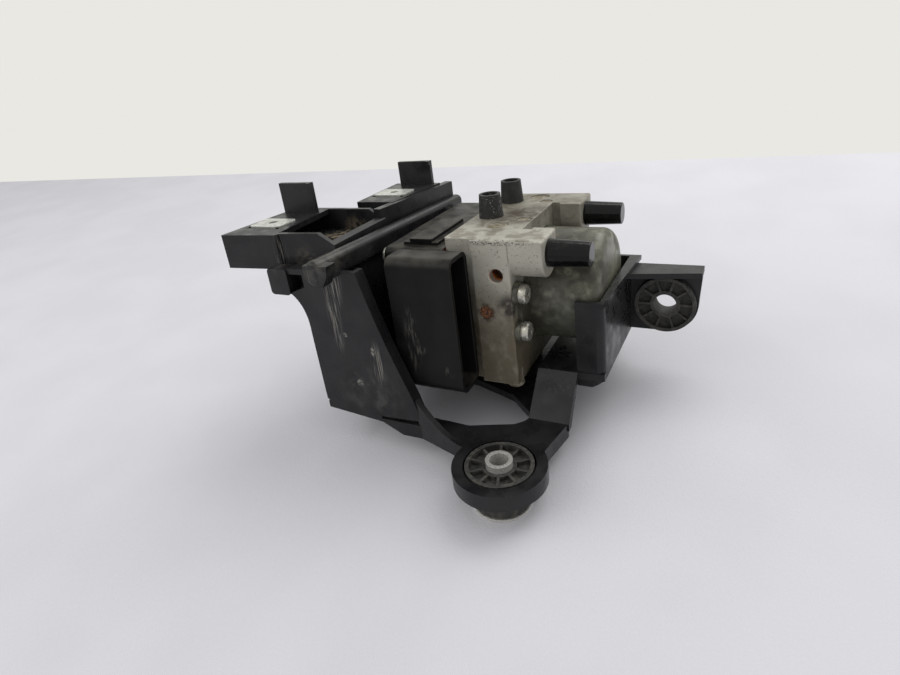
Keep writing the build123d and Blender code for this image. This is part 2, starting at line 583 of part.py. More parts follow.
# %% Hydraulic block with its horns, ports, bores and pockets
with BuildPart() as block:
    with BuildSketch(facing_up(BLOCK_BOTTOM)):
        with BuildLine():
            Polyline(
                (BLOCK_LEFT, BLOCK_FRONT + SHOULDER_SETBACK),
                (BLOCK_LEFT + SHOULDER_WIDTH, BLOCK_FRONT + SHOULDER_SETBACK),
                (BLOCK_LEFT + SHOULDER_WIDTH, BLOCK_FRONT),
                (BLOCK_RIGHT, BLOCK_FRONT),
                (BLOCK_RIGHT, BLOCK_BACK),
                (BLOCK_LEFT, BLOCK_BACK),
                close=True,
            )
        make_face()
    extrude(amount=BLOCK_HEIGHT)
    fillet(block.edges().filter_by(Axis.Z), BLOCK_EDGE)
    for port_y in (FRONT_PORT_Y, REAR_PORT_Y):
        with BuildSketch(facing_right(BLOCK_RIGHT)):
            with Locations((port_y, PORT_Z)):
                Circle(HORN_RADIUS)
            with Locations((port_y, (PORT_Z + BLOCK_TOP) / 2)):
                Rectangle(2 * HORN_RADIUS, BLOCK_TOP - PORT_Z)
            with Locations((port_y, BLOCK_TOP + HORN_RADIUS)):
                Rectangle(3 * HORN_RADIUS, 2 * HORN_RADIUS, mode=Mode.SUBTRACT)
        extrude(amount=HORN_REACH)
    horn_ends = block.faces().filter_by(Plane.YZ).sort_by(Axis.X)[-2:]
    fillet(horn_ends.edges(), BLOCK_EDGE)
    for side, port_y in ((1, FRONT_PORT_Y), (-1, REAR_PORT_Y)):
        with BuildSketch(facing_right(BLOCK_RIGHT)):
            with Locations((port_y + side * HORN_RADIUS, PORT_Z)):
                Rectangle(2 * HORN_NECK_CUT, 3 * HORN_RADIUS)
        extrude(amount=HORN_NECK, mode=Mode.SUBTRACT)
        with BuildSketch(facing_right(HORN_END)):
            with Locations((port_y, PORT_Z)):
                Circle(PORT_RADIUS)
        extrude(amount=-PORT_DEPTH, mode=Mode.SUBTRACT)
    for port_y in WHEEL_PORT_YS:
        with BuildSketch(facing_up(BLOCK_TOP)):
            with Locations((WHEEL_PORT_X, port_y)):
                Circle(PORT_RADIUS)
        extrude(amount=-CAP_SPIGOT, mode=Mode.SUBTRACT)
    for plug_x, plug_y, plug_radius in STAKED_PLUGS:
        with BuildSketch(facing_up(BLOCK_TOP)):
            with Locations((plug_x, plug_y)):
                Circle(plug_radius + STAKE_GAP)
        extrude(amount=-PLUG_SINK, mode=Mode.SUBTRACT)
        with BuildSketch(facing_up(BLOCK_TOP - PLUG_SINK)):
            with Locations((plug_x, plug_y)):
                Circle(plug_radius)
        extrude(amount=-PLUG_THICK, mode=Mode.SUBTRACT)
    # fixing hole in the front face
    with BuildSketch(facing_front(BLOCK_FRONT)):
        with Locations((FIX_HOLE_X, FIX_HOLE_Z)):
            Circle(FIX_HOLE_RADIUS)
    extrude(amount=-FIX_HOLE_DEPTH, mode=Mode.SUBTRACT)
    with BuildSketch(facing_front(BLOCK_FRONT)) as hole_mouth:
        with Locations((FIX_HOLE_X, FIX_HOLE_Z)):
            Circle(FIX_HOLE_RADIUS + FIX_HOLE_CHAMFER)
    extrude(amount=-FIX_HOLE_CHAMFER, taper=45, mode=Mode.SUBTRACT)
    # pump bores run from both ends into the eccentric's chamber
    for end_y, inward in ((BLOCK_FRONT, -1), (BLOCK_BACK, 1)):
        with BuildSketch(facing_front(end_y)):
            with Locations((PUMP_X, MOTOR_Z)):
                Circle(PUMP_BORE_RADIUS)
        extrude(amount=inward * BLOCK_WIDTH / 2, mode=Mode.SUBTRACT)
    with BuildSketch(facing_right(BLOCK_RIGHT)):
        with Locations((MOTOR_Y, MOTOR_Z)):
            Circle(CHAMBER_RADIUS)
    extrude(amount=-CHAMBER_DEPTH, mode=Mode.SUBTRACT)
    with BuildSketch(facing_right(BLOCK_RIGHT)):
        with Locations((MOTOR_Y, MOTOR_Z)):
            Circle(BEARING_RADIUS)
    extrude(amount=-BEARING_WIDTH, mode=Mode.SUBTRACT)
    for bore_y in ACCUMULATOR_YS:
        with BuildSketch(facing_up(BLOCK_BOTTOM)):
            with Locations((BLOCK_MID_X, bore_y)):
                Circle(ACCUMULATOR_RADIUS)
        extrude(amount=ACCUMULATOR_DEPTH, mode=Mode.SUBTRACT)
    for valve_z in VALVE_ZS:
        for valve_y in VALVE_YS:
            with BuildSketch(facing_right(BLOCK_LEFT)):
                with Locations((valve_y, valve_z)):
                    Circle(VALVE_BODY_RADIUS)
            extrude(amount=VALVE_BODY_DEPTH, mode=Mode.SUBTRACT)
    with BuildSketch(facing_right(BLOCK_LEFT)):
        with Locations((MOTOR_Y, VALVE_ZS[1])):
            Circle(SENSOR_RADIUS)
    extrude(amount=SENSOR_DEPTH, mode=Mode.SUBTRACT)
    with BuildSketch(facing_right(BLOCK_LEFT)):
        with Locations((MOTOR_Y, MOTOR_Z - CONTACT_ROD_DROP)):
            Circle(CONTACT_ROD_RADIUS)
    extrude(amount=BLOCK_THICK, mode=Mode.SUBTRACT)
    with BuildSketch(facing_up(BLOCK_BOTTOM)):
        with Locations((DRAIN_PLUG_X, DRAIN_PLUG_Y)):
            Circle(DRAIN_PLUG_RADIUS - STAKE_GAP)
    extrude(amount=CAP_SPIGOT, mode=Mode.SUBTRACT)
    with BuildSketch(facing_up(BLOCK_BOTTOM)):
        with Locations(*STUD_PLACES):
            Circle(STUD_RADIUS)
    extrude(amount=STUD_BITE, mode=Mode.SUBTRACT)
    for head_y, head_z in MOTOR_SCREWS:
        with BuildSketch(facing_right(BLOCK_RIGHT)):
            with Locations((head_y, head_z)):
                Circle(SCREW_RADIUS)
        extrude(amount=-SCREW_GRIP, mode=Mode.SUBTRACT)
    for screw_y, screw_z in ECU_SCREWS:
        with BuildSketch(facing_right(BLOCK_LEFT)):
            with Locations((screw_y, screw_z)):
                Circle(ECU_SCREW_RADIUS)
        extrude(amount=ECU_SCREW_BITE, mode=Mode.SUBTRACT)
block.part.label = "hydraulic_block"
export_step(block.part, "parts/hydraulic_block.step")

# %% Plugs staked into the top of the block
with BuildPart() as top_plugs:
    for plug_x, plug_y, plug_radius in STAKED_PLUGS:
        with BuildSketch(facing_up(BLOCK_TOP - PLUG_SINK - PLUG_THICK)):
            with Locations((plug_x, plug_y)):
                Circle(plug_radius)
        extrude(amount=PLUG_THICK)
top_plugs.part.label = "staked_top_plugs"
export_step(top_plugs.part, "parts/staked_top_plugs.step")

# %% Plugs that close the two pump bores, in the front and back faces
with BuildPart() as pump_plugs:
    for end_y, inward in ((BLOCK_FRONT, -1), (BLOCK_BACK, 1)):
        with BuildSketch(facing_front(end_y - inward * PLUG_SINK)):
            with Locations((PUMP_X, MOTOR_Z)):
                Circle(PUMP_BORE_RADIUS)
        extrude(amount=inward * PUMP_PLUG_THICK)
pump_plugs.part.label = "pump_bore_plugs"
export_step(pump_plugs.part, "parts/pump_bore_plugs.step")

# %% Drain plug under the front corner
with BuildPart() as drain_plug:
    with BuildSketch(facing_up(BLOCK_BOTTOM - DRAIN_PLUG_HEAD)):
        with Locations((DRAIN_PLUG_X, DRAIN_PLUG_Y)):
            Circle(DRAIN_PLUG_RADIUS)
    extrude(amount=DRAIN_PLUG_HEAD)
    fillet(drain_plug.edges().filter_by(GeomType.CIRCLE).sort_by(Axis.Z)[0], STAKE_GAP)
    with BuildSketch(facing_up(BLOCK_BOTTOM)):
        with Locations((DRAIN_PLUG_X, DRAIN_PLUG_Y)):
            Circle(DRAIN_PLUG_RADIUS - STAKE_GAP)
    extrude(amount=CAP_SPIGOT)
drain_plug.part.label = "drain_plug"
export_step(drain_plug.part, "parts/drain_plug.step")

# %% Closed transit caps pushed into the two ports that face the motor
for place, port_y in (("front", FRONT_PORT_Y), ("rear", REAR_PORT_Y)):
    with BuildPart() as master_cap:
        with BuildSketch(Plane(origin=(0, port_y, PORT_Z), x_dir=(1, 0, 0), z_dir=(0, -1, 0))):
            with BuildLine():
                Polyline(
                    (HORN_END - CAP_SPIGOT, 0),
                    (HORN_END - CAP_SPIGOT, PORT_RADIUS),
                    (HORN_END, PORT_RADIUS),
                    (HORN_END, MASTER_CAP_RADIUS),
                    (HORN_END + MASTER_CAP_LENGTH, MASTER_CAP_RADIUS - CAP_DRAFT),
                    (HORN_END + MASTER_CAP_LENGTH, 0),
                    close=True,
                )
            make_face()
        revolve(axis=Axis((0, port_y, PORT_Z), (1, 0, 0)))
        fillet(master_cap.faces().sort_by(Axis.X)[-1].edges(), STAKE_GAP)
        with BuildSketch(facing_right(HORN_END - CAP_SPIGOT)):
            with Locations((port_y, PORT_Z)):
                Circle(PORT_RADIUS - CAP_WALL)
        extrude(amount=CAP_SPIGOT + MASTER_CAP_LENGTH - CAP_WALL, mode=Mode.SUBTRACT)
    master_cap.part.label = f"{place}_port_cap"
    export_step(master_cap.part, f"parts/{place}_port_cap.step")

# %% Open-topped caps pushed into the two ports in the top
for place, port_y in zip(("front", "rear"), WHEEL_PORT_YS):
    with BuildPart() as wheel_cap:
        with BuildSketch(facing_up(BLOCK_TOP - CAP_SPIGOT)):
            with Locations((WHEEL_PORT_X, port_y)):
                Circle(PORT_RADIUS)
        extrude(amount=CAP_SPIGOT)
        with BuildSketch(facing_up(BLOCK_TOP)):
            with Locations((WHEEL_PORT_X, port_y)):
                Circle(WHEEL_CAP_RADIUS)
        with BuildSketch(facing_up(BLOCK_TOP + WHEEL_CAP_LENGTH)):
            with Locations((WHEEL_PORT_X, port_y)):
                Circle(WHEEL_CAP_RADIUS - CAP_DRAFT)
        loft()
        with BuildSketch(facing_up(BLOCK_TOP + WHEEL_CAP_LENGTH)):
            with Locations((WHEEL_PORT_X, port_y)):
                Circle(WHEEL_CAP_RADIUS - CAP_DRAFT - CAP_WALL)
        extrude(amount=-WHEEL_CAP_LENGTH, mode=Mode.SUBTRACT)
    wheel_cap.part.label = f"{place}_top_cap"
    export_step(wheel_cap.part, f"parts/{place}_top_cap.step")

# %% Motor flange plate with two ears on each side
with BuildPart() as motor_flange:
    with BuildSketch(facing_right(BLOCK_RIGHT)):
        with Locations((MOTOR_Y, MOTOR_Z)):
            Circle(MOTOR_RADIUS + FLANGE_LIP)
            Rectangle(2 * EAR_REACH, 2 * EAR_RISE)
        with Locations(*MOTOR_SCREWS):
            Circle(EAR_RADIUS)
        with Locations((MOTOR_Y, MOTOR_Z)):
            Circle(BEARING_RADIUS, mode=Mode.SUBTRACT)
        with Locations((MOTOR_Y, MOTOR_Z - CONTACT_ROD_DROP)):
            Circle(CONTACT_ROD_RADIUS, mode=Mode.SUBTRACT)
        with Locations(*MOTOR_SCREWS):
            Circle(SCREW_RADIUS, mode=Mode.SUBTRACT)
    extrude(amount=FLANGE_THICK)
motor_flange.part.label = "motor_flange"
export_step(motor_flange.part, "parts/motor_flange.step")

# %% Motor can, a drawn cup with a pocket for the rear bush
with BuildPart() as motor_can:
    with BuildSketch(facing_right(FLANGE_FACE)):
        with Locations((MOTOR_Y, MOTOR_Z)):
            Circle(MOTOR_RADIUS)
    extrude(amount=MOTOR_LENGTH)
    fillet(motor_can.faces().sort_by(Axis.X)[-1].edges(), MOTOR_END_ROUND)
    with BuildSketch(facing_right(FLANGE_FACE)):
        with Locations((MOTOR_Y, MOTOR_Z)):
            Circle(CAN_INSIDE)
    extrude(amount=MOTOR_LENGTH - MOTOR_END_ROUND, mode=Mode.SUBTRACT)
    with BuildSketch(facing_right(MOTOR_END - MOTOR_END_ROUND)):
        with Locations((MOTOR_Y, MOTOR_Z)):
            Circle(REAR_BUSH_RADIUS)
    extrude(amount=MOTOR_END_ROUND - MOTOR_WALL, mode=Mode.SUBTRACT)
motor_can.part.label = "motor_can"
export_step(motor_can.part, "parts/motor_can.step")

# %% Motor screws: washer-faced heads with a star socket
with BuildPart() as motor_screws:
    for head_y, head_z in MOTOR_SCREWS:
        with BuildSketch(facing_right(BLOCK_RIGHT - SCREW_GRIP)):
            with Locations((head_y, head_z)):
                Circle(SCREW_RADIUS)
        extrude(amount=SCREW_GRIP + FLANGE_THICK)
        with BuildSketch(facing_right(FLANGE_FACE)):
            with Locations((head_y, head_z)):
                Circle(SCREW_HEAD_RADIUS)
        extrude(amount=SCREW_HEAD_HEIGHT)
    head_faces = motor_screws.faces().filter_by(Plane.YZ).sort_by(Axis.X)[-len(MOTOR_SCREWS):]
    fillet(head_faces.edges(), SCREW_HEAD_HEIGHT / 3)
    for head_y, head_z in MOTOR_SCREWS:
        with BuildSketch(facing_right(FLANGE_FACE + SCREW_HEAD_HEIGHT)):
            with Locations((head_y, head_z)):
                RegularPolygon(DRIVE_RADIUS, 6)
        extrude(amount=-DRIVE_DEPTH, mode=Mode.SUBTRACT)
motor_screws.part.label = "motor_screws"
export_step(motor_screws.part, "parts/motor_screws.step")

# %% Permanent magnets, two arcs glued inside the can
with BuildPart() as magnets:
    with BuildSketch(facing_right(CORE_LEFT)):
        with Locations((MOTOR_Y, MOTOR_Z)):
            Circle(CAN_INSIDE)
            Circle(CAN_INSIDE - MAGNET_WALL, mode=Mode.SUBTRACT)
            for gap_side in (0, 180):
                gap_turn = radians(MAGNET_ARC / 2)
                far = 2 * MOTOR_RADIUS
                with BuildLine(mode=Mode.PRIVATE) as gap_outline:
                    Polyline(
                        (0, 0),
                        (far * cos(gap_turn), far * sin(gap_turn)),
                        (-far * cos(gap_turn), far * sin(gap_turn)),
                        close=True,
                    )
                gap_face = make_face(gap_outline.edges(), mode=Mode.PRIVATE)
                add(gap_face, rotation=gap_side, mode=Mode.SUBTRACT)
    extrude(amount=CORE_LENGTH)
magnets.part.label = "motor_magnets"
export_step(magnets.part, "parts/motor_magnets.step")

# %% Rotor shaft with its eccentric
with BuildPart() as shaft:
    with BuildSketch(facing_right(SHAFT_LEFT)):
        with Locations((MOTOR_Y, MOTOR_Z)):
            Circle(SHAFT_RADIUS)
    extrude(amount=SHAFT_RIGHT - SHAFT_LEFT)
    with BuildSketch(facing_right(PUMP_X - ECCENTRIC_LENGTH / 2)):
        with Locations((MOTOR_Y, MOTOR_Z + ECCENTRIC_OFFSET)):
            Circle(ECCENTRIC_RADIUS)
    extrude(amount=ECCENTRIC_LENGTH)
shaft.part.label = "rotor_shaft"
export_step(shaft.part, "parts/rotor_shaft.step")

# %% Needle ring pressed on the eccentric
with BuildPart() as eccentric_ring:
    with BuildSketch(facing_right(PUMP_X - ECCENTRIC_LENGTH / 2)):
        with Locations((MOTOR_Y, MOTOR_Z + ECCENTRIC_OFFSET)):
            Circle(RING_RADIUS)
            Circle(ECCENTRIC_RADIUS, mode=Mode.SUBTRACT)
    extrude(amount=ECCENTRIC_LENGTH)
eccentric_ring.part.label = "eccentric_ring"
export_step(eccentric_ring.part, "parts/eccentric_ring.step")

# %% Shaft bearings: a sealed ball bearing in the block and a bush in the can
with BuildPart() as front_bearing:
    with BuildSketch(facing_right(BLOCK_RIGHT - BEARING_WIDTH)):
        with Locations((MOTOR_Y, MOTOR_Z)):
            Circle(BEARING_RADIUS)
            Circle(SHAFT_RADIUS + RUN_FIT, mode=Mode.SUBTRACT)
    extrude(amount=BEARING_WIDTH + FLANGE_THICK)
front_bearing.part.label = "front_bearing"
export_step(front_bearing.part, "parts/front_bearing.step")

with BuildPart() as rear_bush:
    with BuildSketch(facing_right(SHAFT_RIGHT - REAR_BUSH_LENGTH)):
        with Locations((MOTOR_Y, MOTOR_Z)):
            Circle(REAR_BUSH_RADIUS)
            Circle(SHAFT_RADIUS + RUN_FIT, mode=Mode.SUBTRACT)
    extrude(amount=REAR_BUSH_LENGTH + PISTON_CLEAR)
rear_bush.part.label = "rear_shaft_bush"
export_step(rear_bush.part, "parts/rear_shaft_bush.step")

# %% Armature core, a slotted stack of laminations
with BuildPart() as core:
    with BuildSketch(facing_right(CORE_LEFT)):
        with Locations((MOTOR_Y, MOTOR_Z)):
            Circle(CORE_RADIUS)
            Circle(SHAFT_RADIUS, mode=Mode.SUBTRACT)
            with PolarLocations(CORE_RADIUS, CORE_SLOTS):
                Rectangle(SLOT_DEEP, SLOT_WIDE, mode=Mode.SUBTRACT)
    extrude(amount=CORE_LENGTH)
core.part.label = "armature_core"
export_step(core.part, "parts/armature_core.step")

# %% Windings, the bulges of copper at both ends of the core
with BuildPart() as winding:
    for start in (CORE_LEFT - WINDING_LENGTH, CORE_LEFT + CORE_LENGTH):
        with BuildSketch(facing_right(start)):
            with Locations((MOTOR_Y, MOTOR_Z)):
                Circle(WINDING_RADIUS)
                Circle(SHAFT_RADIUS, mode=Mode.SUBTRACT)
        extrude(amount=WINDING_LENGTH)
winding.part.label = "armature_windings"
export_step(winding.part, "parts/armature_windings.step")

# %% Commutator, split into bars
with BuildPart() as commutator:
    with BuildSketch(facing_right(COMMUTATOR_LEFT)):
        with Locations((MOTOR_Y, MOTOR_Z)):
            Circle(COMMUTATOR_RADIUS)
            Circle(SHAFT_RADIUS, mode=Mode.SUBTRACT)
            with PolarLocations(COMMUTATOR_RADIUS, 2 * CORE_SLOTS):
                Rectangle(2 * BAR_GAP, BAR_GAP, mode=Mode.SUBTRACT)
    extrude(amount=CORE_LEFT - WINDING_LENGTH - COMMUTATOR_LEFT)
commutator.part.label = "commutator"
export_step(commutator.part, "parts/commutator.step")

# %% Brush plate and brushes
with BuildPart() as brush_plate:
    with BuildSketch(facing_right(FLANGE_FACE)):
        with Locations((MOTOR_Y, MOTOR_Z)):
            Circle(CAN_INSIDE)
            Circle(COMMUTATOR_RADIUS + BRUSH_SIZE, mode=Mode.SUBTRACT)
        with Locations((MOTOR_Y, MOTOR_Z - CONTACT_ROD_DROP)):
            Circle(CONTACT_ROD_RADIUS, mode=Mode.SUBTRACT)
    extrude(amount=BRUSH_PLATE_THICK)
brush_plate.part.label = "brush_plate"
export_step(brush_plate.part, "parts/brush_plate.step")

with BuildPart() as brushes:
    brush_reach = COMMUTATOR_RADIUS + RUN_FIT + BRUSH_LENGTH / 2
    with BuildSketch(facing_right(FLANGE_FACE + BRUSH_PLATE_THICK)):
        with Locations((MOTOR_Y - brush_reach, MOTOR_Z), (MOTOR_Y + brush_reach, MOTOR_Z)):
            Rectangle(BRUSH_LENGTH, BRUSH_SIZE)
    extrude(amount=BRUSH_WIDTH)
brushes.part.label = "carbon_brushes"
export_step(brushes.part, "parts/carbon_brushes.step")

# %% Rod that carries the motor current through the block to the circuit board
with BuildPart() as contact_rod:
    with BuildSketch(facing_right(BLOCK_LEFT - COIL_FOOT - COIL_LENGTH)):
        with Locations((MOTOR_Y, MOTOR_Z - CONTACT_ROD_DROP)):
            Circle(CONTACT_ROD_RADIUS)
    extrude(amount=COIL_FOOT + COIL_LENGTH + BLOCK_THICK + FLANGE_THICK + BRUSH_PLATE_THICK)
contact_rod.part.label = "motor_contact_rod"
export_step(contact_rod.part, "parts/motor_contact_rod.step")

# %% Pump pistons and the springs that press them at the eccentric
for place, side in (("front", -1), ("rear", 1)):
    piston_start = MOTOR_Y + side * (RING_SWEEP + PISTON_CLEAR)
    piston_end = piston_start + side * PUMP_PISTON_LENGTH
    plug_face = MOTOR_Y + side * (BLOCK_WIDTH / 2 - PLUG_SINK - PUMP_PLUG_THICK)
    with BuildPart() as pump_piston:
        with BuildSketch(facing_front(piston_start)):
            with Locations((PUMP_X, MOTOR_Z)):
                Circle(PUMP_BORE_RADIUS - RUN_FIT)
        extrude(amount=-side * PUMP_PISTON_LENGTH)
    pump_piston.part.label = f"{place}_pump_piston"
    export_step(pump_piston.part, f"parts/{place}_pump_piston.step")

    spring_room = abs(plug_face - piston_end) - 2 * SPRING_WIRE - SPRING_END_GAP
    spring_radius = PUMP_BORE_RADIUS - SPRING_WIRE - SPRING_SIDE_GAP
    spring_start = piston_end + side * (SPRING_WIRE + SPRING_END_GAP / 2)
    spring_base = (PUMP_X, spring_start, MOTOR_Z)
    with BuildPart() as pump_spring:
        with BuildLine():
            pitch = spring_room / PUMP_SPRING_TURNS
            coil = Helix(pitch, spring_room, spring_radius, center=spring_base, direction=(0, side, 0))
        with BuildSketch(Plane(origin=coil @ 0, z_dir=coil % 0)):
            Circle(SPRING_WIRE)
        sweep(path=coil, is_frenet=True)
    pump_spring.part.label = f"{place}_pump_spring"
    export_step(pump_spring.part, f"parts/{place}_pump_spring.step")

# %% Accumulators: piston, spring and cap in each bore of the underside
for place, bore_y in zip(("front", "rear"), ACCUMULATOR_YS):
    piston_base = BLOCK_BOTTOM + ACCUMULATOR_DEPTH - ACCUMULATOR_TOP_GAP - ACCUMULATOR_PISTON
    with BuildPart() as accumulator_piston:
        with BuildSketch(facing_up(piston_base)):
            with Locations((BLOCK_MID_X, bore_y)):
                Circle(ACCUMULATOR_RADIUS - RUN_FIT)
        extrude(amount=ACCUMULATOR_PISTON)
    accumulator_piston.part.label = f"{place}_accumulator_piston"
    export_step(accumulator_piston.part, f"parts/{place}_accumulator_piston.step")

    with BuildPart() as accumulator_cap:
        with BuildSketch(facing_up(BLOCK_BOTTOM)):
            with Locations((BLOCK_MID_X, bore_y)):
                Circle(ACCUMULATOR_RADIUS)
        extrude(amount=ACCUMULATOR_CAP)
    accumulator_cap.part.label = f"{place}_accumulator_cap"
    export_step(accumulator_cap.part, f"parts/{place}_accumulator_cap.step")

    spring_floor = BLOCK_BOTTOM + ACCUMULATOR_CAP + ACCUMULATOR_WIRE + SPRING_END_GAP / 2
    spring_room = piston_base - ACCUMULATOR_WIRE - SPRING_END_GAP / 2 - spring_floor
    spring_radius = ACCUMULATOR_RADIUS - ACCUMULATOR_WIRE - 2 * SPRING_SIDE_GAP
    with BuildPart() as accumulator_spring:
        with BuildLine():
            pitch = spring_room / ACCUMULATOR_TURNS
            coil = Helix(pitch, spring_room, spring_radius, center=(BLOCK_MID_X, bore_y, spring_floor))
        with BuildSketch(Plane(origin=coil @ 0, z_dir=coil % 0)):
            Circle(ACCUMULATOR_WIRE)
        sweep(path=coil, is_frenet=True)
    accumulator_spring.part.label = f"{place}_accumulator_spring"
    export_step(accumulator_spring.part, f"parts/{place}_accumulator_spring.step")

# %% Solenoid valves: cartridge in the block, dome inside the coil
with BuildPart() as valves:
    for valve_z in VALVE_ZS:
        for valve_y in VALVE_YS:
            with BuildSketch(facing_right(BLOCK_LEFT)):
                with Locations((valve_y, valve_z)):
                    Circle(VALVE_BODY_RADIUS)
            extrude(amount=VALVE_BODY_DEPTH)
            with BuildSketch(facing_right(BLOCK_LEFT)):
                with Locations((valve_y, valve_z)):
                    Circle(VALVE_DOME_RADIUS)
            extrude(amount=-COIL_FOOT - COIL_LENGTH + VALVE_DOME_SHORT)
valves.part.label = "solenoid_valves"
export_step(valves.part, "parts/solenoid_valves.step")

with BuildPart() as coils:
    for valve_z in VALVE_ZS:
        for valve_y in VALVE_YS:
            with BuildSketch(facing_right(COIL_END)):
                with Locations((valve_y, valve_z)):
                    Circle(COIL_RADIUS)
                    Circle(VALVE_DOME_RADIUS + COIL_FIT, mode=Mode.SUBTRACT)
            extrude(amount=COIL_LENGTH)
coils.part.label = "solenoid_coils"
export_step(coils.part, "parts/solenoid_coils.step")

with BuildPart() as sensor:
    with BuildSketch(facing_right(COIL_END)):
        with Locations((MOTOR_Y, VALVE_ZS[1])):
            Circle(SENSOR_RADIUS)
    extrude(amount=BLOCK_LEFT + SENSOR_DEPTH - COIL_END)
sensor.part.label = "pressure_sensor"
export_step(sensor.part, "parts/pressure_sensor.step")

# %% Control unit housing with the connector shroud moulded on
with BuildPart() as housing:
    with BuildSketch(facing_right(ECU_LEFT)):
        with Locations((ECU_MID_Y, ECU_MID_Z)):
            RectangleRounded(ECU_WIDTH, ECU_HEIGHT, ECU_CORNER)
    extrude(amount=ECU_THICK)
    with BuildSketch(facing_right(SHROUD_LEFT)):
        with Locations((SHROUD_MID_Y, SHROUD_MID_Z)):
            RectangleRounded(SHROUD_DEPTH, SHROUD_HEIGHT, SHROUD_CORNER)
        with Locations((SHROUD_BACK - SHROUD_CORNER / 2, ECU_MID_Z)):
            Rectangle(SHROUD_CORNER, ECU_HEIGHT - 2 * ECU_CORNER)
    extrude(amount=SHROUD_LENGTH)
    for start, depth in ((ECU_LEFT, BOARD_ROOM), (COIL_END, COIL_FOOT + COIL_LENGTH)):
        with BuildSketch(facing_right(start)):
            with Locations((ECU_MID_Y, ECU_MID_Z)):
                RectangleRounded(ECU_WIDTH - 2 * ECU_WALL, ECU_HEIGHT - 2 * ECU_WALL, ECU_CORNER / 2)
            with Locations(*ECU_SCREWS):
                Circle(BOSS_RADIUS, mode=Mode.SUBTRACT)
            with Locations(*ECU_SCREW_CORNERS):
                Rectangle(BOSS_RADIUS, BOSS_RADIUS, mode=Mode.SUBTRACT)
        extrude(amount=depth, mode=Mode.SUBTRACT)
    with BuildSketch(facing_right(SHROUD_LEFT + SHROUD_FLOOR)):
        with Locations((SHROUD_MID_Y, SHROUD_MID_Z)):
            RectangleRounded(
                SHROUD_DEPTH - 2 * SHROUD_WALL,
                SHROUD_HEIGHT - 2 * SHROUD_WALL,
                SHROUD_CORNER - SHROUD_WALL,
            )
    extrude(amount=SHROUD_LENGTH - SHROUD_FLOOR, mode=Mode.SUBTRACT)
    with BuildSketch(facing_right(ECU_LEFT)):
        with Locations(*ECU_SCREWS):
            Circle(ECU_SCREW_RADIUS)
    extrude(amount=ECU_THICK, mode=Mode.SUBTRACT)
    with BuildSketch(facing_right(BOARD_FACE)):
        with Locations(*BOARD_POSTS):
            Rectangle(BOARD_POST, BOARD_POST)
    extrude(amount=COIL_END - PARTITION - BOARD_FACE)
    with BuildSketch(facing_right(ECU_RIGHT)):
        with Locations((ECU_MID_Y, ECU_MID_Z)):
            RectangleRounded(*SEAL_OUTLINE, SEAL_CORNER)
            RectangleRounded(*SEAL_INLINE, SEAL_CORNER - SEAL_THICK / 2, mode=Mode.SUBTRACT)
    extrude(amount=-SEAL_THICK, mode=Mode.SUBTRACT)
    # stepped ribs on top, where the wiring plug's lever slides
    for step_number, (step_inset, step_width) in enumerate(LEVER_STEPS):
        step_x = ECU_LEFT + step_inset + step_width / 2
        with BuildSketch(facing_up(ECU_TOP)):
            with Locations((step_x, ECU_FRONT + LEVER_REACH - step_number * LEVER_SHIFT)):
                Rectangle(step_width, LEVER_LENGTH - 2 * step_number * LEVER_SHIFT)
        extrude(amount=(step_number + 1) * LEVER_STEP)
housing.part.label = "control_unit_housing"
export_step(housing.part, "parts/control_unit_housing.step")

with BuildPart() as seal:
    with BuildSketch(facing_right(ECU_RIGHT)):
        with Locations((ECU_MID_Y, ECU_MID_Z)):
            RectangleRounded(*SEAL_OUTLINE, SEAL_CORNER)
            RectangleRounded(*SEAL_INLINE, SEAL_CORNER - SEAL_THICK / 2, mode=Mode.SUBTRACT)
    extrude(amount=-SEAL_THICK)
seal.part.label = "control_unit_seal"
export_step(seal.part, "parts/control_unit_seal.step")

with BuildPart() as cover:
    with BuildSketch(facing_right(ECU_LEFT)):
        with Locations((ECU_MID_Y, ECU_MID_Z)):
            RectangleRounded(ECU_WIDTH, ECU_HEIGHT, ECU_CORNER)
        with Locations(*ECU_SCREWS):
            Circle(ECU_SCREW_RADIUS, mode=Mode.SUBTRACT)
    extrude(amount=-COVER_THICK)
    fillet(cover.faces().sort_by(Axis.X)[0].outer_wire().edges(), COVER_THICK / 3)
cover.part.label = "control_unit_cover"
export_step(cover.part, "parts/control_unit_cover.step")

with BuildPart() as board:
    with BuildSketch(facing_right(BOARD_FACE)):
        with Locations((ECU_MID_Y, ECU_MID_Z)):
            Rectangle(ECU_WIDTH - 2 * (ECU_WALL + BOARD_MARGIN), ECU_HEIGHT - 2 * (ECU_WALL + BOARD_MARGIN))
        with Locations(*ECU_SCREWS):
            Rectangle(4 * BOSS_RADIUS, 4 * BOSS_RADIUS, mode=Mode.SUBTRACT)
    extrude(amount=-BOARD_THICK)
board.part.label = "circuit_board"
export_step(board.part, "parts/circuit_board.step")

with BuildPart() as ecu_screws:
    for screw_y, screw_z in ECU_SCREWS:
        with BuildSketch(facing_right(ECU_LEFT - COVER_THICK)):
            with Locations((screw_y, screw_z)):
                Circle(ECU_SCREW_RADIUS)
        extrude(amount=COVER_THICK + ECU_THICK + ECU_SCREW_BITE)
        with BuildSketch(facing_right(ECU_LEFT - COVER_THICK)):
            with Locations((screw_y, screw_z)):
                Circle(2 * ECU_SCREW_RADIUS)
        extrude(amount=-ECU_SCREW_RADIUS)
ecu_screws.part.label = "control_unit_screws"
export_step(ecu_screws.part, "parts/control_unit_screws.step")

